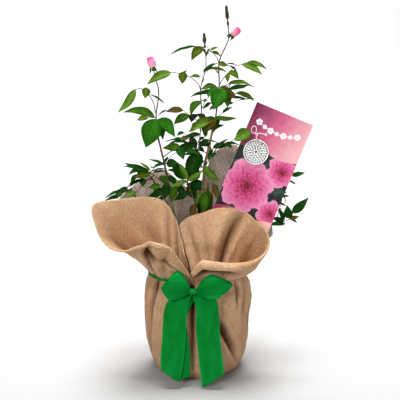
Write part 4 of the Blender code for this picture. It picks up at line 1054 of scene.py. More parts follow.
def granules(finish):
    dice = random.Random("granules")
    bm = bmesh.new()
    for _ in range(GRANULES):
        a, r = dice.uniform(0, math.tau), SCATTER_R * math.sqrt(dice.uniform(0.06, 1))
        size = dice.uniform(0.0007, 0.0021)
        turn = Matrix.Rotation(dice.uniform(0, 3), 4, (dice.random(), dice.random(), 0.3))
        shape = Matrix.Diagonal((size, size * dice.uniform(0.4, 0.9), size * 0.6, 1))
        place = Matrix.Translation((r * math.cos(a), r * math.sin(a), GRANULE_Z))
        bmesh.ops.create_icosphere(bm, subdivisions=1, radius=1.0, matrix=place @ turn @ shape)
    return piece("compost_granules", bm, [finish], ["compost"])


COMPOST = compost_finish()
mound = [(MOUND_STEP * i, COMPOST_Z) for i in range(MOUND_RINGS)]
mound += [(0.0538, COMPOST_FOOT_Z), (0, COMPOST_FOOT_Z)]
turned("compost_fill", mound, COMPOST, "compost", "compost", roughen=crumble)
print("granules:", len(granules(COMPOST).data.polygons), "faces")

# %% [markdown]
# ## Canes
# These canes have a green foot that turns a dark reddish brown higher up, or are ochre and olive along their
# whole length. Each cane is one tube whose radius swells at its nodes, where leaves have been, and whose
# surface is ridged along its length. The ridges and swellings are real relief. Short thorns hook down from
# it. A tube's thread map already says how far up the cane a spot is, so the bark's colour reads its height
# from there.

# %% Bark finish
def bark(name, low, high, flush):
    made, tree, sockets = finish_of(name, 0.6, shine=0.1)
    place = object_place(tree)
    streaks = rough_noise(tree, stretched(tree, place, (1.0, 1.0, 0.12)), 900.0, 3.0)
    flecks = rough_noise(tree, place, 320.0, 2.0)
    color = blend(tree, remap(tree, parts(tree, thread_place(tree))[1], 0.14, 0.20), low, high)
    color = blend(tree, remap(tree, flecks, 0.5, 0.7, 0.0, 0.8), color, flush)
    color = blend(tree, remap(tree, streaks, 0.52, 0.70, 0.0, 0.7), color, scaled_color(low, 0.45))
    set_color(tree, sockets, color)
    set_bump(tree, sockets, streaks, 0.5, 0.0006)
    return made


BARKS = {  # colour at the foot, colour higher up, colour of the flecks
    "brown": bark("bark_brown", (0.17, 0.23, 0.06), (0.070, 0.036, 0.018), (0.13, 0.060, 0.025)),
    "olive": bark("bark_olive", (0.42, 0.33, 0.16), (0.24, 0.17, 0.06), (0.26, 0.12, 0.05)),
    "green": bark("bark_green", (0.28, 0.16, 0.04), (0.24, 0.20, 0.05), (0.20, 0.17, 0.04)),
}
THORN = plain("thorn_red", (0.26, 0.09, 0.05), 0.45, grain=0.2, scale=500.0)
print("barks:", *BARKS)

# %% Woody stems
WOOD_STEP, RIDGE = 0.0022, 0.00018  # between two rings of a stem, and how high its ridges are
NODE_STEP, NODE_SWELL, NODE_HALF = 0.024, 0.16, 0.0016


def thorn(bm, foot, out, ahead, length):
    """A flat-footed thorn that hooks back down its cane."""
    path = [foot - out * 0.0006, foot + out * 0.4 * length - ahead * 0.05 * length,
            foot + out * 0.8 * length - ahead * 0.25 * length, foot + out * length - ahead * 0.5 * length]
    tube(path, [share * length for share in (0.34, 0.20, 0.09, 0.01)], 6, bm, 1)


def thorns_along(bm, points, radii, dice):
    for i in range(3, len(points) - 3, 5):
        if dice.random() < 0.45:
            ahead = (points[i + 1] - points[i]).normalized()
            a = dice.uniform(0, math.tau)
            side = ahead.orthogonal().normalized()
            out = (side * math.cos(a) + ahead.cross(side) * math.sin(a)).normalized()
            thorn(bm, points[i] + out * radii[i] * 0.9, out, ahead, dice.uniform(0.0022, 0.0038))


def woody(bm, waypoints, foot_r, tip_r, dice, thorns=True):
    """A cane or stem as a tube with nodes, ridges and thorns."""
    path = curved(waypoints, 10)
    reach = sum((b - a).length for a, b in zip(path, path[1:]))
    rings = max(12, round(reach / WOOD_STEP))
    points = [along_points(path, i / rings) for i in range(rings + 1)]
    first_node, half = dice.uniform(0.008, 0.024), NODE_STEP / 2
    to_node = [((i * reach / rings - first_node + half) % NODE_STEP) - half for i in range(rings + 1)]
    radii = [r * (1 + NODE_SWELL * math.exp(-(off / NODE_HALF) ** 2))
             for r, off in zip(tapered(points, foot_r, tip_r), to_node)]
    before = set(bm.verts)
    tube(points, radii, 14, bm)
    for vert in set(bm.verts) - before:
        ridge = noise.noise(Vector((vert.co.x * 900, vert.co.y * 900, vert.co.z * 40)))
        out = vert.co - min(points, key=lambda point: (point - vert.co).length_squared)
        if out.length > 1e-5:
            vert.co += out.normalized() * RIDGE * ridge
    if thorns:
        thorns_along(bm, points, radii, dice)


# %% Boughs
# bark, foot and tip radius in mm, and the places in mm that the cane passes
BOUGHS = {
    "cane_left": ("brown", 3, 1.6, (
        (-6.2, -3, 179.9), (-21, -14, 224), (-37, -20, 272), (-56, -20, 374), (-70, -20, 436),
    )),
    "cane_right": ("olive", 3.8, 2, (
        (2.2, 5.2, 179.1), (11, 6, 250), (15, 2, 334), (12.5, 0, 370), (18, 0, 400), (34, 0, 470),
    )),
    "cane_green": ("green", 2.6, 1.7, (
        (6.6, -4, 179.2), (19, -6, 250), (23, -8, 312),
    )),
    "cane_middle": ("green", 2.2, 1.4, (
        (-1, -15.4, 170), (1, -22, 225), (0, -21, 306),
    )),
    "cane_centre": ("olive", 1.9, 1.5, (
        (8.6, -2.9, 378), (3, -9, 405), (5.5, -10, 436),
    )),
    "cane_low_left": ("brown", 2.6, 1.8, (
        (-14.7, 3.7, 171), (-40, 12, 225), (-68, 12, 330),
    )),
    "cane_outer_left": ("brown", 2.4, 1.6, (
        (-10.8, 10.1, 169), (-50, 24, 215), (-98, 22, 298),
    )),
    "cane_low_right": ("green", 2.6, 1.6, (
        (14.9, -0.9, 170), (56, 8, 205), (120, 14, 275),
    )),
    "cane_side_right": ("green", 2.6, 1.6, (
        (13.6, 6.3, 170), (70, 22, 235), (145, 22, 330),
    )),
    "cane_back": ("brown", 2.8, 1.8, (
        (2.7, 15.1, 170), (6, 40, 240), (-6, 46, 370),
    )),
}

for name, (tone, foot_r, tip_r, way) in BOUGHS.items():
    bm = bmesh.new()
    woody(bm, [mm(spot) for spot in way], foot_r / 1000, tip_r / 1000, random.Random("bark of " + name))
    outward(bm)
    piece(name + "_bark", bm, [BARKS[tone], THORN], [name])
print("canes:", len(BOUGHS))

# %% Graft
# radius and height, in mm, of the swollen foot of the bush, from its top down
GRAFT_PROFILE = (
    (0, 178.3), (5, 178.6), (9.5, 177.7), (12, 175.3), (13.2, 171.3), (12.5, 166.3), (12.8, 162.3),
    (15.5, 158.3), (0, 158.3),
)


def lumps(bm):
    """Old cuts, as lumps and hollows."""
    bmesh.ops.subdivide_edges(bm, edges=bm.edges, cuts=2, use_grid_fill=True)
    for vert in bm.verts:
        vert.co += vert.co.xy.to_3d().normalized() * 0.0012 * noise.noise(vert.co * 160)


graft = turned("graft_bark", [mm(spot) for spot in GRAFT_PROFILE], BARKS["brown"], "bark", "graft_knuckle",
               24, lumps)
print("graft:", len(graft.data.polygons), "faces")

# %% [markdown]
# ## Leaf finishes
# A rose leaflet has a pale midrib, side veins that slant forward to its teeth, and a blade that puffs up a
# little between them. One node group draws that from the leaf's own map, 0 to 1 across and along, and every
# leaf finish shares it. The finishes are plain colours that are dealt out leaf by leaf: olive and bright
# green in the crowns, dark green low down, light green on young shoots and bronze where a shoot is reddish.
# Undersides are a little paler and duller. Only the bright and light leaves have any gloss.

# %% Vein group
SIDE_VEINS, FORWARD = 9.0, -0.20  # side veins on each half of a blade, and how far they slant forward


def vein_group():
    tree, given, result = group_of("leaf veins", (("Place", "Vector"),), ("Vein", "Height", "Margin"))
    split = parts(tree, given["Place"])
    across = times(tree, calc(tree, "ABSOLUTE", calc(tree, "SUBTRACT", split[0], 0.5)), 2.0)
    midrib = remap(tree, across, 0.04, 0.11, 1.0, 0.0)
    slant = calc(tree, "MULTIPLY_ADD", across, FORWARD, split[1])
    off = calc(tree, "PINGPONG", times(tree, slant, SIDE_VEINS), 0.5)
    side = times(tree, remap(tree, off, 0.03, 0.11, 1.0, 0.0), remap(tree, across, 0.95, 0.4, 0.1, 0.8))
    vein = calc(tree, "MAXIMUM", midrib, side)
    puff = calc(tree, "SINE", times(tree, off, math.pi))
    fill(tree, result, (vein, calc(tree, "SUBTRACT", puff, vein), remap(tree, across, 0.45, 1.0)))
    return tree


VEINS = vein_group()
print("veins:", len(VEINS.nodes), "nodes")

# %% Leaf finishes
def leaf_finish(name, body, vein_color, roughness, shine):
    made, tree, sockets = finish_of(name, roughness, shine=shine)
    vein, height, margin = use_group(tree, VEINS, thread_place(tree))
    patches = remap(tree, rough_noise(tree, object_place(tree), 75.0, 2.0), 0.3, 0.7)
    color = blend(tree, patches, scaled_color(body, 0.70), scaled_color(body, 1.25))
    color = blend(tree, times(tree, vein, 0.3), color, vein_color)
    set_color(tree, sockets, blend(tree, times(tree, margin, 0.75), color, scaled_color(body, 0.25)))
    set_bump(tree, sockets, height, 0.45, 0.0005)
    return made


LEAF_COLORS = {  # blade and veins
    "olive": ((0.072, 0.128, 0.009), (0.15, 0.23, 0.035)),
    "green": ((0.038, 0.112, 0.007), (0.09, 0.19, 0.03)),
    "bright": ((0.022, 0.150, 0.005), (0.08, 0.27, 0.02)),
    "light": ((0.088, 0.195, 0.014), (0.20, 0.33, 0.06)),
    "dark": ((0.010, 0.054, 0.006), (0.024, 0.090, 0.014)),
    "bronze": ((0.095, 0.075, 0.014), (0.18, 0.15, 0.04)),
}
TONES = list(LEAF_COLORS)
GLOSS = {"bright": 0.05, "light": 0.05}
LEAVES = [leaf_finish("leaf_" + tone, body, vein, 0.42, GLOSS.get(tone, 0.0))
          for tone, (body, vein) in LEAF_COLORS.items()]
LEAVES += [leaf_finish("underside_" + tone, tuple(0.006 + 1.15 * value for value in body), vein, 0.7, 0.0)
           for tone, (body, vein) in LEAF_COLORS.items()]
STALK_COLORS = {  # a stalk's colour and that of its flecks
    "green": ((0.060, 0.060, 0.014), (0.08, 0.035, 0.014)),
    "red": ((0.070, 0.022, 0.012), (0.05, 0.045, 0.012)),
    "tan": ((0.27, 0.145, 0.040), (0.20, 0.15, 0.04)),
}
STALKS = [bark("stalk_" + tone, color, color, flush) for tone, (color, flush) in STALK_COLORS.items()]
GREEN_STALK, RED_STALK, TAN_STALK = range(3)
print("leaf finishes:", len(LEAVES))

# %% [markdown]
# ## How a spray grows
# Each spray repeats the growth of its solid: the same stem, rows of compound leaves, and the same seeded
# choices for the size, spread, pitch, width and curl of each blade. Only the modelling is finer. A blade is
# kept where its solid has one. A leaflet is a folded, curling sheet with teeth on its margin and a drawn-out
# tip, and its stalk is a curved tube with a pair of small stipules at its foot.

# %% Leaflets
TOOTH = 0.0027  # from one tooth to the next


def blade_axes(along, hint=Vector((0, -0.12, 1))):
    """Side, face and length axes of a leaf that grows this way, with its face as near up as it can be."""
    along = along.normalized()
    face = (hint - along * hint.dot(along)).normalized()
    return Matrix((face.cross(along), face, along)).transposed()


def leaflet(bm, root, axes, length, width, curl, tone, dice, bow=0.0):
    """One toothed blade: half outlines that swell, then run out to a point."""
    rows = 2 * max(7, round(length / TOOTH))
    ripple, lean = dice.uniform(0, math.tau), 2 * bow + dice.uniform(-0.05, 0.05)
    twist = dice.uniform(-0.5, 0.5)

    def place(s, t):
        x, out = 1 - 2 * s, t
        half = 0.5 * width * math.sin(math.pi * min(1.0, t ** 0.74)) ** 0.8 * (1 - 0.45 * t ** 4)
        if abs(x) > 0.99:
            tooth = round(t * rows) % 2
            half *= 1.035 if tooth else 0.965
            out += (0.008 if tooth else -0.004) * (1 - t)
        fold = 0.30 * abs(x) ** 0.8 * half
        wave = 0.012 * length * x * x * math.sin(ripple + 11 * t) * math.sin(math.pi * t)
        through = fold + wave - curl * out * out * length
        turn = twist * t * t
        side = x * half + lean * length * math.sin(math.pi * t) * 0.5
        return root + axes @ Vector((side * math.cos(turn), through + side * math.sin(turn), out * length))

    sheet(8, rows, place, bm, TONES.index(tone), scaled=False)


# %% Compound leaves
PETIOLE_R, SUNK = 0.0009, 0.0016
BLADE_SIDE = {"t": 0, "l": -1, "r": 1, "L": -1, "R": 1}  # end leaflet, upper pair, lower pair
BLADE_SIZE = {"t": 1.0, "l": 0.84, "r": 0.84, "L": 0.66, "R": 0.66}
BLADE_AT = {"t": 1.0, "l": 0.88, "r": 0.88, "L": 0.52, "R": 0.52}


def leaf_blades(root, row, rng):
    """The foot and tip of one leaf's stalk and its blades, with the seeded choices of its solid."""
    _, compass, rise, stalk, blade, blade_rise, roll, which, tone = row
    tip = root + heading(compass, 90 - rise) * stalk / 1000
    axes = blade_axes(heading(compass, 90 - blade_rise)) @ Matrix.Rotation(math.radians(roll), 3, "Z")
    blades = []
    for name, side in BLADE_SIDE.items():
        size = blade / 1000 * BLADE_SIZE[name] * rng.uniform(0.94, 1.06)
        spread, pitch = rng.uniform(54, 70), rng.uniform(0, 10)
        if name in which:
            own = axes @ Matrix.Rotation(math.radians(side * spread), 3, "Y")
            own = own @ Matrix.Rotation(math.radians(pitch), 3, "X")
            width, curl = size * rng.uniform(0.50, 0.60), rng.uniform(0.08, 0.22)
            blades.append((BLADE_AT[name], own, size, width, curl, tone))
    return root, tip, blades


def skip_leaf(which, rng):
    """Uses up the seeded choices of a leaf of the solid that is placed one by one here."""
    for _ in range(3 * len(BLADE_SIDE) + 2 * len(which)):
        rng.random()


def near(solid, point, reach):
    """Whether a point is in or close to a solid's surface."""
    return solid.find_nearest(point, reach)[0] is not None


def stalk_point(root, tip, share):
    """A place on a stalk, which bows up a little between its ends."""
    return root.lerp(tip, share) + Vector((0, 0, 0.05 * (tip - root).length * math.sin(math.pi * share)))


def compound_leaf(leaves, stems, solid, found, dice):
    """Builds one leaf where its solid has it, and says how many blades it kept."""
    root, tip, blades = found
    if not near(solid, root.lerp(tip, 0.7), 0.003):
        return 0
    kept = 0
    for share, axes, length, width, curl, tone in blades:
        foot = root.lerp(tip, share) - axes.col[2] * SUNK
        if near(solid, foot + axes @ Vector((0, -0.25 * curl * length, 0.5 * length)), 0.0022):
            foot = stalk_point(root, tip, share) - axes.col[2] * 0.0004
            leaflet(leaves, foot, axes, length, width, curl, tone, dice)
            kept += 1
    if kept:
        petiole(leaves, stems, root, tip, blades[0][-1], dice)
    return kept


def petiole(leaves, stems, root, tip, tone, dice):
    """A leaf's stalk, and a pair of stipules at its foot where it is long enough for them."""
    red = tone in ("bronze", "olive") and dice.random() < 0.5
    path = [stalk_point(root, tip, i / 8) for i in range(9)]
    tube(path, tapered(path, 1.15 * PETIOLE_R, 0.60 * PETIOLE_R), 8, stems, RED_STALK if red else GREEN_STALK)
    if (tip - root).length > 0.011:
        ahead = (tip - root).normalized()
        for side in (-35, 35):
            way = blade_axes(ahead) @ Matrix.Rotation(math.radians(side), 3, "Y")
            leaflet(leaves, root + ahead * 0.002, way, 0.007, 0.0018, 0.1, tone, dice)


# %% Masses of foliage
# Bough, share of it where the stem starts, the stem's foot and tip radius in mm, the leaflets of the solid's
# first leaves, which are placed one by one here instead, and the places in mm that the stem passes.
# Then the other leaves: share of the stem, compass and rise of the stalk, stalk and blade in mm, rise and
# roll of the blade, leaflets and tone.
MASSES = {
    "crown_left": ("cane_left", 1, 1.5, 1.1, "", (
        (-73, -20, 474), (-68, -20, 513), (-73, -20, 539), (-76.5, -20, 555),
    ), ()),
    "crown_right": ("cane_right", 1, 1.7, 1.1, "t t t tl t tl tr t tr tL tlr tl tl", (
        (40, 0, 524), (40, 0, 569), (55.5, 0, 606), (56, 0, 628),
    ), (
        (0.38, 130, 30, 22, 28, -10, 0, "tr", "olive"),
    )),
    "crown_centre": ("cane_centre", 1, 1.3, 1, "t t t t t tL t t tR tlr tlr", (
        (8, -10, 482), (7, -10, 523), (16, -10, 560), (14, -10, 597),
    ), (
        (0.16, 110, 20, 26, 34, -20, 0, "tl", "dark"),
    )),
    "spray_middle": ("cane_middle", 1, 1.6, 1.2, "t t t", ((-8, -26, 332), (-18, -30, 353)), (
        (0.85, 150, 60, 16, 42, 50, -50, "t", "dark"), (0.8, 60, 60, 16, 42, 40, 50, "t", "dark"),
        (0.5, 170, 10, 8, 32, -20, -40, "t", "dark"),
    )),
    "spray_green": ("cane_green", 1, 1.8, 1.3, "t t", ((21, -12, 335), (20, -14, 351)), (
        (0.45, -125, -10, 8, 40, -70, 0, "t", "green"), (0.5, -60, -10, 8, 40, -66, 0, "t", "green"),
    )),
    "spray_low_left": ("cane_low_left", 1, 1.6, 1.2, "", ((-80, 8, 352), (-90, 4, 366)), (
        (0.95, 172, 30, 18, 34, 20, 0, "tlrLR", "dark"), (0.6, -160, 0, 20, 30, -20, 0, "tlr", "dark"),
        (0.9, 30, 50, 18, 32, 20, 0, "tr", "dark"),
    )),
    "spray_outer_left": ("cane_outer_left", 1, 1.5, 1.2, "", ((-116, 16, 322), (-126, 10, 331)), (
        (0.95, -172, 8, 14, 34, -6, 0, "tlr", "dark"), (0.6, 160, 30, 12, 28, 10, 0, "tl", "dark"),
    )),
    "spray_low_right": ("cane_low_right", 1, 1.5, 1.2, "", ((142, 16, 291), (158, 18, 298)), ()),
    "spray_side_right": ("cane_side_right", 1, 1.5, 1.2, "t t", ((157, 20, 345), (170, 18, 358)), (
        (0.2, 0, -40, 10, 24, -50, 0, "t", "dark"),
    )),
    "spray_inner_left": ("cane_left", 0.84, 1.3, 1.1, "", ((-45, -28, 412), (-34, -32, 417)), (
        (0.95, -20, 0, 6, 38, 0, 20, "tlr", "dark"), (0.5, 165, 20, 4, 30, 10, -20, "t", "dark"),
    )),
    "spray_foot_left": ("cane_left", 0.56, 1.3, 1.1, "", ((-58, -30, 324), (-62, -34, 334)), (
        (0.95, 175, 10, 4, 34, -14, -30, "tl", "dark"), (0.8, -60, -10, 4, 34, -50, 0, "t", "dark"),
        (0.6, 170, 0, 3, 30, -50, -30, "t", "dark"),
    )),
    "spray_card_side": ("cane_right", 0.66, 1.3, 1.1, "t", ((40, -12, 420), (56, -18, 424)), (
        (0.55, 0, 10, 8, 28, 10, 0, "tl", "dark"), (0.3, -60, 0, 8, 30, -10, 0, "tl", "dark"),
    )),
    "spray_back": ("cane_back", 1, 1.6, 1.2, "", ((-10, 44, 395), (-12, 40, 415)), (
        (0.9, 150, 30, 26, 38, 0, 0, "tlr", "dark"), (0.85, 20, 30, 26, 38, 0, 0, "tlr", "dark"),
        (0.5, 80, 20, 26, 36, -10, 0, "tl", "dark"),
    )),
}

# %% [markdown]
# The rows above give each spray the body of its solid. The finest twigs, and the leaves that make up its
# outline, are placed one by one as they show from the front: a place is a point of the front view, counted
# from its left and its top, and a depth in millimetres. Each leaf says where its foot and its tip show, how
# deep it stands, how wide it looks, how far its blade is turned away, and its tone. It takes its own stalk
# from the nearest twig, as a leaf does on a real cane.

# %% Front view
EYE = Vector((0.0055, -1.5, 0.58))
EYE_FALL = math.atan(0.175)  # how far the view looks down
POINTS_WIDE, LENS, SENSOR = 400, 74.25, 36.0
FOCUS = POINTS_WIDE * LENS / SENSOR


def seen(u, v, depth):
    """The place at this depth, in mm, that shows at point (u, v) of the front view."""
    across, up = (u - POINTS_WIDE / 2) / FOCUS, (POINTS_WIDE / 2 - v) / FOCUS
    ahead = Vector((across, math.cos(EYE_FALL) + up * math.sin(EYE_FALL),
                    up * math.cos(EYE_FALL) - math.sin(EYE_FALL)))
    return EYE + ahead * ((depth / 1000 - EYE.y) / ahead.y)


# %% Twigs
# depth at the foot and tip, and radius, in mm, then the points that it passes
TWIGS = {
    "crown_left": (
        (-20, -30, 0.9, (155.5, 113), (153.5, 103), (149, 95.5), (141, 88.5), (135, 90)),
        (-21, -40, 0.8, (155.7, 116), (156, 117.5), (156, 119.5)),
    ),
    "crown_right": (
        (0, -14, 0.8, (219, 62.5), (216, 56.5), (212, 52), (208.5, 50)),
        (0, -8, 0.8, (219, 62.5), (211, 65.5), (206, 67.5)),
        (-2, -10, 0.7, (219, 62), (224, 63.5), (230, 66), (236, 69)),
        (0, -20, 0.9, (219, 85.5), (223, 79), (229, 72), (236, 66), (242, 64.5)),
        (0, -14, 0.9, (219, 89), (223, 86.5), (228, 84), (231, 84)),
        (0, -10, 0.8, (220, 91), (228, 92), (236, 93.5)),
        (4, 12, 0.7, (216, 117), (222, 113.5), (230, 104), (238, 100)),
        (-2, -16, 0.8, (215, 121), (209, 119), (205, 121)),
        (2, 12, 0.8, (211, 150), (216, 147), (224, 145.5), (230, 143.5)),
    ),
    "crown_centre": (
        (-10, -24, 0.9, (205.5, 53), (202, 49), (196, 46.5)),
        (-10, -12, 0.6, (206, 57), (208, 52), (207, 45)),
        (-10, -24, 0.9, (200.5, 90), (198.5, 84.5), (193, 79), (186.5, 75.5), (177, 73), (171, 72.5)),
        (-10, -18, 0.8, (206, 72), (209, 69.5), (213, 68.5)),
        (-10, -13, 0.7, (203, 82), (203.5, 78), (200, 76.5)),
        (-10, -26, 0.9, (200.5, 123), (196, 119.5), (190, 115.5), (183, 110.5)),
        (-10, -14, 0.7, (201.5, 109), (205, 102), (208, 98)),
        (-10, -14, 0.7, (203, 108), (208, 104.5), (211, 103)),
    ),
    "spray_inner_left": (
        (-22, -30, 0.8, (163, 163), (168, 159), (175, 153), (181, 148)),
        (-26, -30, 0.7, (181, 148), (190, 141), (199, 136)),
        (-26, -22, 0.7, (190, 142), (200, 142), (208, 143)),
    ),
    "spray_foot_left": (
        (-22, -30, 0.8, (166.5, 183), (161, 181), (156, 177), (150, 172), (144, 169)),
        (-22, -32, 0.8, (165, 171), (157, 170.5), (151, 171.5)),
    ),
    "spray_green": (
        (-4, -8, 2.2, (211.5, 216), (212, 200), (213, 184), (214.5, 168)),
    ),
    "spray_middle": (
        (-12, -16, 1.6, (187, 219), (193.5, 211), (197.5, 202), (199.5, 193)),
        (-12, -18, 1.5, (198, 214), (194.5, 201), (190.5, 190), (187.5, 181)),
    ),
    "spray_low_right": (
        (14, 20, 1, (268, 214), (274, 219.5), (282, 221.5), (289, 219.5)),
        (14, 18, 0.8, (276, 221), (280, 207), (281.5, 201), (282, 195)),
    ),
}


def twig(stems, row):
    """Adds a thin stem of the front view, tan if it is thick and red if not, and returns its path."""
    near_depth, far_depth, radius, *points = row
    depths = [mix((near_depth, far_depth), i / (len(points) - 1)) for i in range(len(points))]
    path = curved([seen(u, v, depth) for (u, v), depth in zip(points, depths)], 6)
    finish = TAN_STALK if radius > 1.2 else RED_STALK
    tube(path, tapered(path, radius / 1000, 0.6 * radius / 1000), 8, stems, finish)
    return path


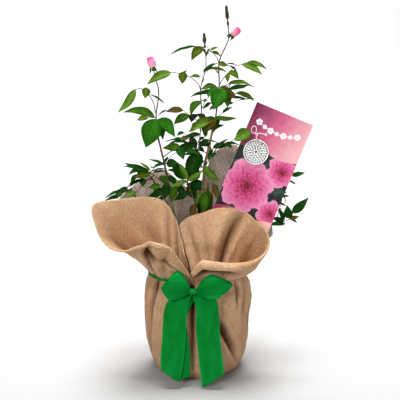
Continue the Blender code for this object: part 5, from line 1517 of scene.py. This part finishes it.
# %% Leaves of the outline
# points of the foot and tip, depth in mm, width in points, turn in degrees, tone, and how far it bows aside
PLACED = {
    "crown_left": (
        (135.5, 89.5, 117, 112.5, -30, 8.5, 25, "light", -0.1),
        (146.5, 87.5, 145, 98.5, -24, 10.5, 10, "olive"),
        (150, 94.6, 165.5, 102.6, -22, 1.6, 80, "dark", 0.06),
        (155, 117.5, 123, 111, -26, 8, 40, "green", 0.12), (155.5, 119, 145.5, 148, -42, 20.5, 5, "bright"),
        (157, 119.5, 176, 136.5, -34, 12.5, 30, "bright", 0.08),
        (148, 117.5, 137, 120, -32, 6, 50, "olive"), (158, 122, 164, 140, -28, 9, 35, "green"),
    ),
    "crown_right": (
        (210.5, 50.6, 219, 46.3, -14, 3, 60, "olive"), (211, 52, 221.3, 56, -16, 3.2, 60, "olive", 0.12),
        (216, 63.8, 203, 69.2, -10, 2.6, 65, "dark"), (209, 69.2, 227.5, 71.5, -12, 2.8, 68, "olive", 0.16),
        (218.5, 63.5, 228, 65.5, -12, 5, 35, "olive"), (226.5, 64, 237.5, 64, -8, 1.5, 80, "dark"),
        (229, 66, 239, 72.5, -12, 1.8, 75, "dark", 0.12), (242, 64.3, 262.5, 74, -20, 7, 35, "light", 0.1),
        (247, 62.5, 267.5, 68.2, -16, 4.6, 45, "olive", 0.1),
        (228.6, 71.6, 239, 79, -18, 6.2, 20, "olive", 0.12),
        (228.6, 73.5, 227.4, 82.5, -20, 4.6, 30, "olive"),
        (228, 83.8, 256, 85.6, -12, 4.6, 60, "olive", 0.15),
        (229, 89.3, 249, 84, -14, 4.4, 60, "dark", -0.1),
        (236, 93, 254.8, 100.5, -8, 4.6, 55, "olive", 0.12), (227, 96.5, 248, 98.6, -4, 2.6, 68, "dark"),
        (238, 100.5, 256, 97.8, 8, 1.5, 78, "dark"), (233, 102.5, 225.5, 104.5, 4, 2.8, 50, "dark"),
        (222.5, 112.8, 232.5, 106, 4, 3.2, 50, "dark"),
        (217.5, 87.5, 200.8, 88.6, -4, 5.4, 45, "olive", 0.14),
        (224.5, 89.5, 213.5, 110, -26, 17.5, 5, "bright", 0.06),
        (223.5, 91, 228, 108, -22, 9.5, 30, "green", 0.1),
        (219.5, 89.5, 206.5, 95, -22, 8, 30, "bright", 0.1),
        (223.5, 89.5, 238, 98.5, -14, 8.5, 25, "bronze", -0.06), (220, 87, 232, 90.5, -10, 4, 50, "olive"),
        (213, 119, 237, 117, -6, 4.2, 60, "green", -0.1), (214.5, 117.6, 198, 119.6, -8, 3, 66, "dark"),
        (214, 119.5, 188, 132, -20, 9.5, 30, "olive", 0.1),
        (208, 123, 190, 131, -26, 6.5, 30, "light", 0.05), (216, 118.5, 205, 132, -22, 9, 20, "bronze"),
        (211, 131, 224, 124, 2, 4.2, 50, "dark", 0.1), (205, 120.5, 192.5, 128, -12, 6.6, 35, "bronze"),
        (219, 119, 213, 132, -10, 6.5, 40, "green"), (213, 147.5, 229.5, 144.3, 4, 6, 40, "dark"),
        (218, 145.5, 229.7, 137.3, 8, 2.6, 60, "dark"), (228, 144.5, 233.5, 141, 10, 1.8, 60, "dark"),
        (213, 150, 205, 157, 2, 4.6, 40, "dark"), (203.5, 166, 220.5, 181, -14, 8, 15, "light", -0.06),
        (210, 143, 198, 146, 0, 6, 40, "dark"),
    ),
    "crown_centre": (
        (196, 46.6, 164.8, 53.6, -22, 2.9, 70, "dark", 0.07),
        (203.6, 47.2, 191.2, 60.5, -16, 8.8, 15, "olive", 0.12),
        (205.5, 54, 202.5, 47, -12, 2.2, 50, "bronze"), (206, 56, 209.5, 47.5, -12, 2.2, 50, "bronze"),
        (171, 72.5, 146.8, 83.6, -26, 8.8, 20, "light", 0.05), (183.5, 71.5, 182, 84, -22, 10, 10, "olive"),
        (182.5, 74.5, 187, 69.8, -20, 2, 50, "olive"), (200, 76.5, 190.2, 75.8, -14, 3.6, 45, "olive"),
        (209, 92, 188.8, 96.4, -12, 3.8, 60, "dark", 0.04), (212, 91.5, 200, 93, -6, 4.4, 50, "green"),
        (201.5, 101, 190.6, 116, -20, 7, 30, "green", 0.2), (203, 100.5, 207.5, 100, -12, 3, 40, "olive"),
        (211, 102.5, 202.5, 108.6, -12, 3.4, 45, "dark"), (214.5, 106, 209, 109.8, -8, 2.4, 50, "dark"),
        (183, 110.5, 165.5, 110.6, -26, 6.2, 35, "bronze", 0.06),
        (167, 110.5, 157.2, 115.6, -28, 1.8, 70, "dark", 0.16),
        (189, 115.5, 173.6, 124.2, -24, 8.4, 20, "green", 0.08),
        (199, 122, 191, 132, -14, 6.4, 30, "olive"), (202, 124, 208, 136, -6, 6.5, 40, "olive"),
        (200, 134, 181.5, 137, -16, 5, 40, "dark"), (203, 131, 206.5, 137.5, -8, 3, 50, "dark"),
    ),
    "spray_middle": (
        (187.2, 179.4, 178.3, 162.6, -30, 6.8, 15, "light", 0.04),
        (188, 180.4, 202.4, 169.6, -30, 6.2, 20, "light", -0.06),
        (187.2, 181, 170.8, 187.2, -30, 5.2, 25, "light", 0.05),
        (199, 152, 188.5, 181, -18, 15.5, 15, "dark", 0.03), (196, 153, 203.5, 163, -14, 7, 20, "dark"),
        (201, 180.5, 190, 193, -12, 10.5, 20, "dark"), (193, 153.8, 179, 155.2, -16, 2.6, 60, "dark"),
        (188, 168, 204, 160, -10, 8, 30, "dark"), (180, 186, 184.5, 196, -14, 5.5, 30, "dark"),
        (192, 183, 202, 190, -10, 8, 30, "dark"), (196, 182, 186, 195, 30, 9, 20, "dark"),
        (187, 190, 197, 199, 34, 8, 20, "dark"),
    ),
    "spray_green": (
        (204.5, 191.5, 205, 215, -16, 8.8, 10, "green", 0.03),
        (201, 190, 196.8, 206, -16, 3.8, 30, "light", 0.08), (213.5, 184, 218, 200, -10, 6, 30, "bronze"),
        (207, 190, 211, 212, -14, 7, 30, "green"), (196, 204, 190, 218, -14, 7.5, 30, "bronze"),
        (199.5, 200, 202, 217, -8, 8, 20, "dark"),
    ),
    "spray_inner_left": (
        (181, 148, 162.3, 147.4, -28, 8.4, 25, "green", 0.04),
        (181.5, 150.4, 198, 144, -26, 8.4, 25, "dark", 0.04),
        (188.5, 142.6, 173, 141, -24, 2.2, 65, "dark"), (183.4, 131.8, 177, 135.4, -24, 3.8, 40, "dark"),
        (188, 138, 180, 138.5, -24, 4.4, 30, "bronze"), (200, 143, 211.5, 143.2, -20, 5.4, 35, "dark"),
        (199, 140, 204.6, 136.4, -20, 2.4, 50, "dark"), (166.4, 163.5, 178.8, 163.2, -26, 8.6, 15, "dark"),
        (164.4, 165, 148.8, 157.8, -24, 2.8, 60, "dark"), (165.5, 162, 167.8, 156, -24, 2.4, 50, "dark"),
        (190, 137, 197, 150, -20, 7, 30, "dark"), (184, 143, 193, 152.5, -22, 8, 25, "dark"),
        (199, 147, 205, 152.5, -12, 4, 40, "dark"),
    ),
    "spray_foot_left": (
        (149.5, 172.4, 124.8, 161.8, -30, 5.8, 35, "dark", -0.04),
        (150.2, 170.6, 140, 161.2, -32, 2.6, 55, "olive"),
        (150.5, 172.5, 133, 176.6, -32, 7.2, 25, "olive", -0.05),
        (138, 174.5, 128.8, 186, -28, 4.8, 35, "dark", 0.05),
        (166, 169.4, 150, 170.6, -28, 1.7, 70, "dark", 0.12),
        (166.4, 171.5, 151, 172.4, -30, 1.7, 70, "dark", 0.08),
        (168, 170.2, 178.5, 172.8, -24, 2.8, 50, "dark", 0.1),
        (160, 186, 148.6, 187.2, -30, 6.4, 25, "green"), (166.4, 182.4, 164.5, 200.5, -24, 9.6, 15, "dark"),
        (176.5, 186.5, 171, 201, -26, 8.4, 20, "green", 0.05), (178, 186.5, 184.4, 196, -18, 6, 25, "dark"),
        (158.6, 191.6, 147.4, 196.6, -26, 3.6, 40, "dark"),
        (136.6, 192, 123.4, 196.2, -20, 4.4, 30, "light"),
        (128, 187.6, 115.4, 193.4, 10, 4.6, 30, "dark", 0.06), (122, 194.6, 103.6, 200, 6, 4.2, 35, "dark"),
        (160, 176, 170, 186, -20, 7, 25, "green"), (168, 176, 178, 186, -18, 6.5, 30, "dark"),
    ),
    "spray_card_side": (
        (250, 131, 234.4, 141, -30, 13.4, 5, "light", 0.04),
    ),
    "spray_low_right": (
        (289.5, 218.6, 287.5, 205.4, 20, 8.8, 10, "dark", -0.08),
        (292.5, 213, 308.4, 197.2, 18, 9, 15, "dark", -0.06),
        (284, 220.5, 279.3, 208.2, 20, 4.8, 25, "dark"), (290, 219.4, 299, 216, 20, 4.6, 30, "bronze"),
        (291.5, 219, 297.6, 223, 22, 2.2, 50, "dark"), (284, 221.8, 270, 218.4, 16, 3.8, 40, "dark", 0.1),
        (277, 202.5, 287, 205.6, 16, 2, 55, "dark"), (281.6, 196.6, 289.6, 195.6, 18, 2.6, 50, "dark"),
        (282.4, 194, 286.6, 191.8, 18, 1.8, 50, "dark"), (285, 224, 268, 223.5, 14, 4.5, 40, "dark"),
    ),
    "spray_side_right": (
        (291.5, 175.6, 305, 172, 22, 5, 30, "dark", -0.06), (289, 180.8, 296.4, 183.8, 22, 1.9, 50, "dark"),
    ),
}


def placed_leaf(leaves, stems, lines, row, dice):
    """One leaf of the front view, with its own stalk from the nearest of these lines."""
    u0, v0, u1, v1, depth, look, turn, tone, *bow = row
    foot, tip = seen(u0, v0, depth), seen(u1, v1, depth + dice.uniform(-10, 3))
    along = tip - foot
    length, point_wide = along.length, (EYE - foot).length / FOCUS
    axes = blade_axes(along, EYE - foot)
    side = axes.col[0]
    steep = abs(side.z) > 0.25
    upper = math.copysign(1, side.z if steep else side.x)
    roll = math.radians(turn) * (upper if steep else dice.choice((-1, 1)))
    width = min(0.74 * length, look * point_wide / max(0.25, math.cos(roll)))
    axes = axes @ Matrix.Rotation(-roll, 3, "Z")
    leaflet(leaves, foot, axes, length, width, dice.uniform(0.03, 0.12), tone, dice, upper * sum(bow))
    start = min((point for line in lines for point in line), key=lambda point: (point - foot).length_squared)
    if (start - foot).length > 0.0010:
        middle = start.lerp(foot, 0.5) + Vector((0, 0, 0.06 * (start - foot).length))
        path = curved([start, middle, foot + along * 0.02], 4)
        tube(path, tapered(path, 0.00075, 0.00050), 6, stems, RED_STALK)

# %% [markdown]
# ## Buds
# A pink bud is a set of petals wound round each other on a green hip, under reflexed sepals. Each petal is a
# sheet bent round the bud's axis, drawn in at its top, with an outer lip that rolls back. Colour runs from
# pale at the petal's foot to hot pink at its lip. A closed bud is still sealed in its five sepals, whose
# tips stand up in a point.

# %% Bud finishes
PETAL_FOOT, PETAL_PINK, PETAL_LIP = (0.92, 0.52, 0.55), (0.88, 0.22, 0.42), (0.80, 0.06, 0.26)


def petal_finish():
    made, tree, sockets = finish_of("petal_pink", 0.5, sheen_weight=0.3)
    place = thread_place(tree)
    streaks = rough_noise(tree, stretched(tree, place, (30.0, 2.0, 1.0)), 3.0)
    rise = calc(tree, "MULTIPLY_ADD", streaks, 0.25, parts(tree, place)[1])
    color = blend(tree, remap(tree, rise, 0.25, 0.75), PETAL_FOOT, PETAL_PINK)
    set_color(tree, sockets, blend(tree, remap(tree, rise, 0.85, 1.1), color, PETAL_LIP))
    set_bump(tree, sockets, streaks, 0.15, 0.0003)
    return made


BLOOM = [petal_finish(), *(plain(name, color, 0.6, grain=grain, shine=0.1) for name, color, grain in (
    ("hip_green", (0.045, 0.085, 0.014), 0.15), ("sepal_green", (0.035, 0.060, 0.014), 0.25),
    ("sepal_red", (0.075, 0.035, 0.015), 0.25)))]
PINK, GREEN_HIP, GREEN_SEPAL, RED_SEPAL = range(4)
print("bud finishes:", len(BLOOM))

# %% Bud shapes
def petal(bm, foot, turn, length, radius, middle, span, curl):
    """One petal wound over its share of the bud, with its lip rolled out."""

    def place(s, t):
        v = 2 * s - 1
        a = middle + 0.5 * span * v
        up = t * (1 - 0.13 * v ** 4)
        belly = math.sin(math.pi * (0.10 + 0.68 * up)) ** 0.8 * (1 - 0.22 * up)
        r = radius * belly + 0.0006 * v * ease(2 * t) + curl * max(0.0, up - 0.80) ** 1.5 * 12 * radius
        return foot + turn @ Vector((r * math.cos(a), r * math.sin(a), length * up))

    sheet(14, 16, place, bm, PINK, scaled=False)


def sealed(bm, foot, turn, length, radius):
    """A closed bud in its sepals, with the seams between them, green below and red above."""
    made = bmesh.ops.create_uvsphere(bm, u_segments=30, v_segments=20, radius=1.0)["verts"]
    for vert in made:
        x, y, z = vert.co
        s, a = 0.5 + 0.5 * z, math.atan2(y, x)
        r = radius * (1.25 - 0.95 * s) * (0.35 + 0.65 * ease(2.6 * s)) * (1 + 0.14 * abs(math.sin(2.5 * a)))
        vert.co = foot + turn @ Vector((x * r, y * r, s * length))
    for face in finish_faces(made, RED_SEPAL):
        if face.calc_center_median().z < foot.z + 0.55 * length:
            face.material_index = GREEN_SEPAL


def hip(bm, foot, turn, radius, length):
    place = Matrix.Translation(foot - turn @ Vector((0, 0, 0.35 * length))) @ turn.to_4x4()
    shape = Matrix.Diagonal((radius, radius, 0.5 * length, 1))
    ball = bmesh.ops.create_uvsphere(bm, u_segments=16, v_segments=10, radius=1.0, matrix=place @ shape)
    finish_faces(ball["verts"], GREEN_HIP)


def sepal(bm, foot, turn, radius, length, a, spread):
    """A narrow pointed leaf under a bud, that bends away from it."""

    def place(s, t):
        x = 1 - 2 * s
        half = 0.17 * length * math.sin(math.pi * min(1, t ** 0.6)) ** 0.8
        lean = spread * ease(1.6 * t)
        out = radius * 0.5 + length * t * math.sin(lean) * 0.9
        spot = Vector((out, x * half, length * t * math.cos(lean) - 0.25 * half * x * x))
        return foot + turn @ (Matrix.Rotation(a, 3, "Z") @ spot)

    sheet(4, 12, place, bm, GREEN_SEPAL, scaled=False)


def bud(bm, stems, root, along, stalk, length, radius, closed, spread):
    """One bud on its stalk, sealed or showing its petals."""
    foot, spread = root + along * stalk, math.radians(spread)
    turn = along.to_track_quat("Z", "Y").to_matrix()
    tube([root - along * 0.001, root.lerp(foot, 0.5), foot], [0.0012, 0.0011, 0.0013], 8, stems, RED_STALK)
    if closed:
        hip(bm, foot, turn, 0.62 * radius, 0.30 * length)
        sealed(bm, foot, turn, length, radius)
        for i in range(5):
            high = foot + along * length * 0.55
            sepal(bm, high, turn, 0.5 * radius, 0.38 * length, math.tau * i / 5, spread)
        return
    hip(bm, foot, turn, 0.40 * radius, 0.26 * length)
    for i in range(8):
        tall, wide = length * (0.90 + 0.012 * i), radius * (1 - 0.085 * i)
        petal(bm, foot, turn, tall, wide, 2.4 * i, 2.9, 0.22 - 0.05 * i)
    for i in range(5):
        sepal(bm, foot, turn, 0.4 * radius, 0.62 * length, math.tau * (i + 0.35) / 5, spread)


# spray, share of its stem, compass and rise of the stalk, stalk, length, radius, closed, spread of the sepals
BUDS = (
    ("crown_left", 1.0, 170, 72, 0.003, 0.0220, 0.0088, False, 120),
    ("crown_right", 0.80, -30, 34, 0.0080, 0.0190, 0.0082, False, 125),
    ("crown_right", 1.0, 172, 84, 0.012, 0.0300, 0.0036, True, 12),
    ("crown_centre", 1.0, 150, 86, 0.002, 0.0220, 0.0038, True, 14),
)

# %% [markdown]
# ## All the sprays
# A spray's leaves, its stems and its buds are joined each kind apart, so that the bush stays a few dozen
# objects. The stem of a spray is a little finer than its solid.

# %% Grow the sprays
FINER = 0.8  # a stem's radius as a share of its solid's


def solid_tree(name):
    mesh = nodes[name].data
    places = [vert.co for vert in mesh.vertices]
    return BVHTree.FromPolygons(places, [face.vertices for face in mesh.polygons])


def grow(name):
    """Builds one spray in the place of its solid, and says how many leaves it has."""
    bough, share, foot_r, tip_r, skipped, way, rows = MASSES[name]
    bough_way = [mm(spot) for spot in BOUGHS[bough][3]]
    way = [along_points(curved(bough_way, 10), share), *(mm(spot) for spot in way)]
    path, solid = curved(way, 9), solid_tree(name)
    leaves, stems, blooms = bmesh.new(), bmesh.new(), bmesh.new()
    rng, dice = random.Random(name), random.Random("fine " + name)
    for which in skipped.split():
        skip_leaf(which, rng)
    kept = 0
    for row in rows:
        kept += compound_leaf(leaves, stems, solid, leaf_blades(along_points(path, row[0]), row, rng), dice)
    woody(stems, way, FINER * foot_r / 1000, FINER * tip_r / 1000, dice, thorns=False)
    lines = [path, curved(bough_way, 16), *(twig(stems, row) for row in TWIGS.get(name, ()))]
    for row in PLACED.get(name, ()):
        placed_leaf(leaves, stems, lines, row, dice)
    for spray, at, compass, rise, *sizes in BUDS:
        if spray == name:
            bud(blooms, stems, along_points(path, at), heading(compass, 90 - rise), *sizes)
    outward(stems)
    piece(name + "_stems", stems, STALKS, [name])
    piece(name + "_leaves", leaves, LEAVES, [name], 0.0003, -1, len(TONES))
    if blooms.verts:
        piece(name + "_buds", blooms, BLOOM, [name], 0.00022)
    else:
        blooms.free()
    return kept + len(PLACED.get(name, ()))


print("leaves:", {name: grow(name) for name in MASSES})

# %% [markdown]
# ## Stage
# The bush stands on a pale grey sheet that curves up behind it, as in a product studio, so that no horizon
# shows. The key light stands in front on the left, low enough to show the weave. A broad light overhead lays
# a soft shadow round the foot of the wrap, and one behind turns the sheet white. A weak fill on the right
# opens the shadows, and a rim light behind brings out the edges of the leaves and of the cloth.

# %% Sweep
SWEEP_NEAR, SWEEP_FAR, SWEEP_BEND, SWEEP_RISE, SWEEP_WIDTH = 2.6, 1.6, 1.0, 3.2, 5.0
SWEEP_DROP = 0.0005  # keeps the sheet just under the wrap


def sweep_point(s, t):
    flat, quarter = SWEEP_NEAR + SWEEP_FAR, math.pi / 2 * SWEEP_BEND
    length = t * (flat + quarter + SWEEP_RISE)
    x = SWEEP_WIDTH * (s - 0.5)
    if length < flat:
        return x, length - SWEEP_NEAR, -SWEEP_DROP
    a = (length - flat) / SWEEP_BEND
    if length < flat + quarter:
        return x, SWEEP_FAR + SWEEP_BEND * math.sin(a), SWEEP_BEND * (1 - math.cos(a)) - SWEEP_DROP
    return x, SWEEP_FAR + SWEEP_BEND, SWEEP_BEND + length - flat - quarter


def sweep():
    made, tree, sockets = finish_of("studio_sheet", 0.9, shine=0.1)
    grain = rough_noise(tree, object_place(tree), 4.0)
    set_color(tree, sockets, blend(tree, grain, (0.44, 0.44, 0.44), (0.46, 0.46, 0.46)))
    bm = sheet(4, 96, sweep_point)
    mesh = bpy.data.meshes.new("studio_sheet")
    bm.to_mesh(mesh)
    bm.free()
    mesh.materials.append(made)
    obj = bpy.data.objects.new("studio_sheet", mesh)
    bpy.context.scene.collection.objects.link(obj)


sweep()
print("stage: one sheet")

# %% Lights
def softbox(name, place, aim, size, power):
    data = bpy.data.lights.new(name, "AREA")
    data.shape, data.size, data.energy = "DISK", size, power
    obj = bpy.data.objects.new(name, data)
    obj.location = place
    obj.rotation_euler = (Vector(aim) - Vector(place)).to_track_quat("-Z", "Y").to_euler()
    bpy.context.scene.collection.objects.link(obj)


softbox("key", (-0.75, -2.5, 1.25), (0, 0, 0.28), 0.6, 38)
softbox("overhead", (-0.1, -0.1, 2.6), (0, 0, 0), 1.2, 80)
softbox("backdrop", (0, 0.9, 2.2), (0, 2.6, 0.9), 1.2, 100)
softbox("fill", (1.5, -1.7, 0.9), (0, 0, 0.28), 1.2, 8)
softbox("rim", (0.3, 1.1, 1.4), (0, 0, 0.35), 0.8, 7)
world = bpy.data.worlds.new("studio")
bpy.context.scene.world = world
world.use_nodes = True
sky = world.node_tree.nodes["Background"].inputs
sky["Color"].default_value = (1.0, 1.0, 1.0, 1.0)
sky["Strength"].default_value = 0.20
print("lights:", len(bpy.data.lights))

# %% Camera
camera = bpy.data.objects.new("camera", bpy.data.cameras.new("camera"))
camera.location = EYE
camera.rotation_euler = (math.pi / 2 - EYE_FALL, 0.0, 0.0)
camera.data.sensor_width, camera.data.lens = SENSOR, LENS
bpy.context.scene.collection.objects.link(camera)
bpy.context.scene.camera = camera
bpy.context.scene.view_settings.view_transform = "Standard"
print("camera:", LENS, "mm")
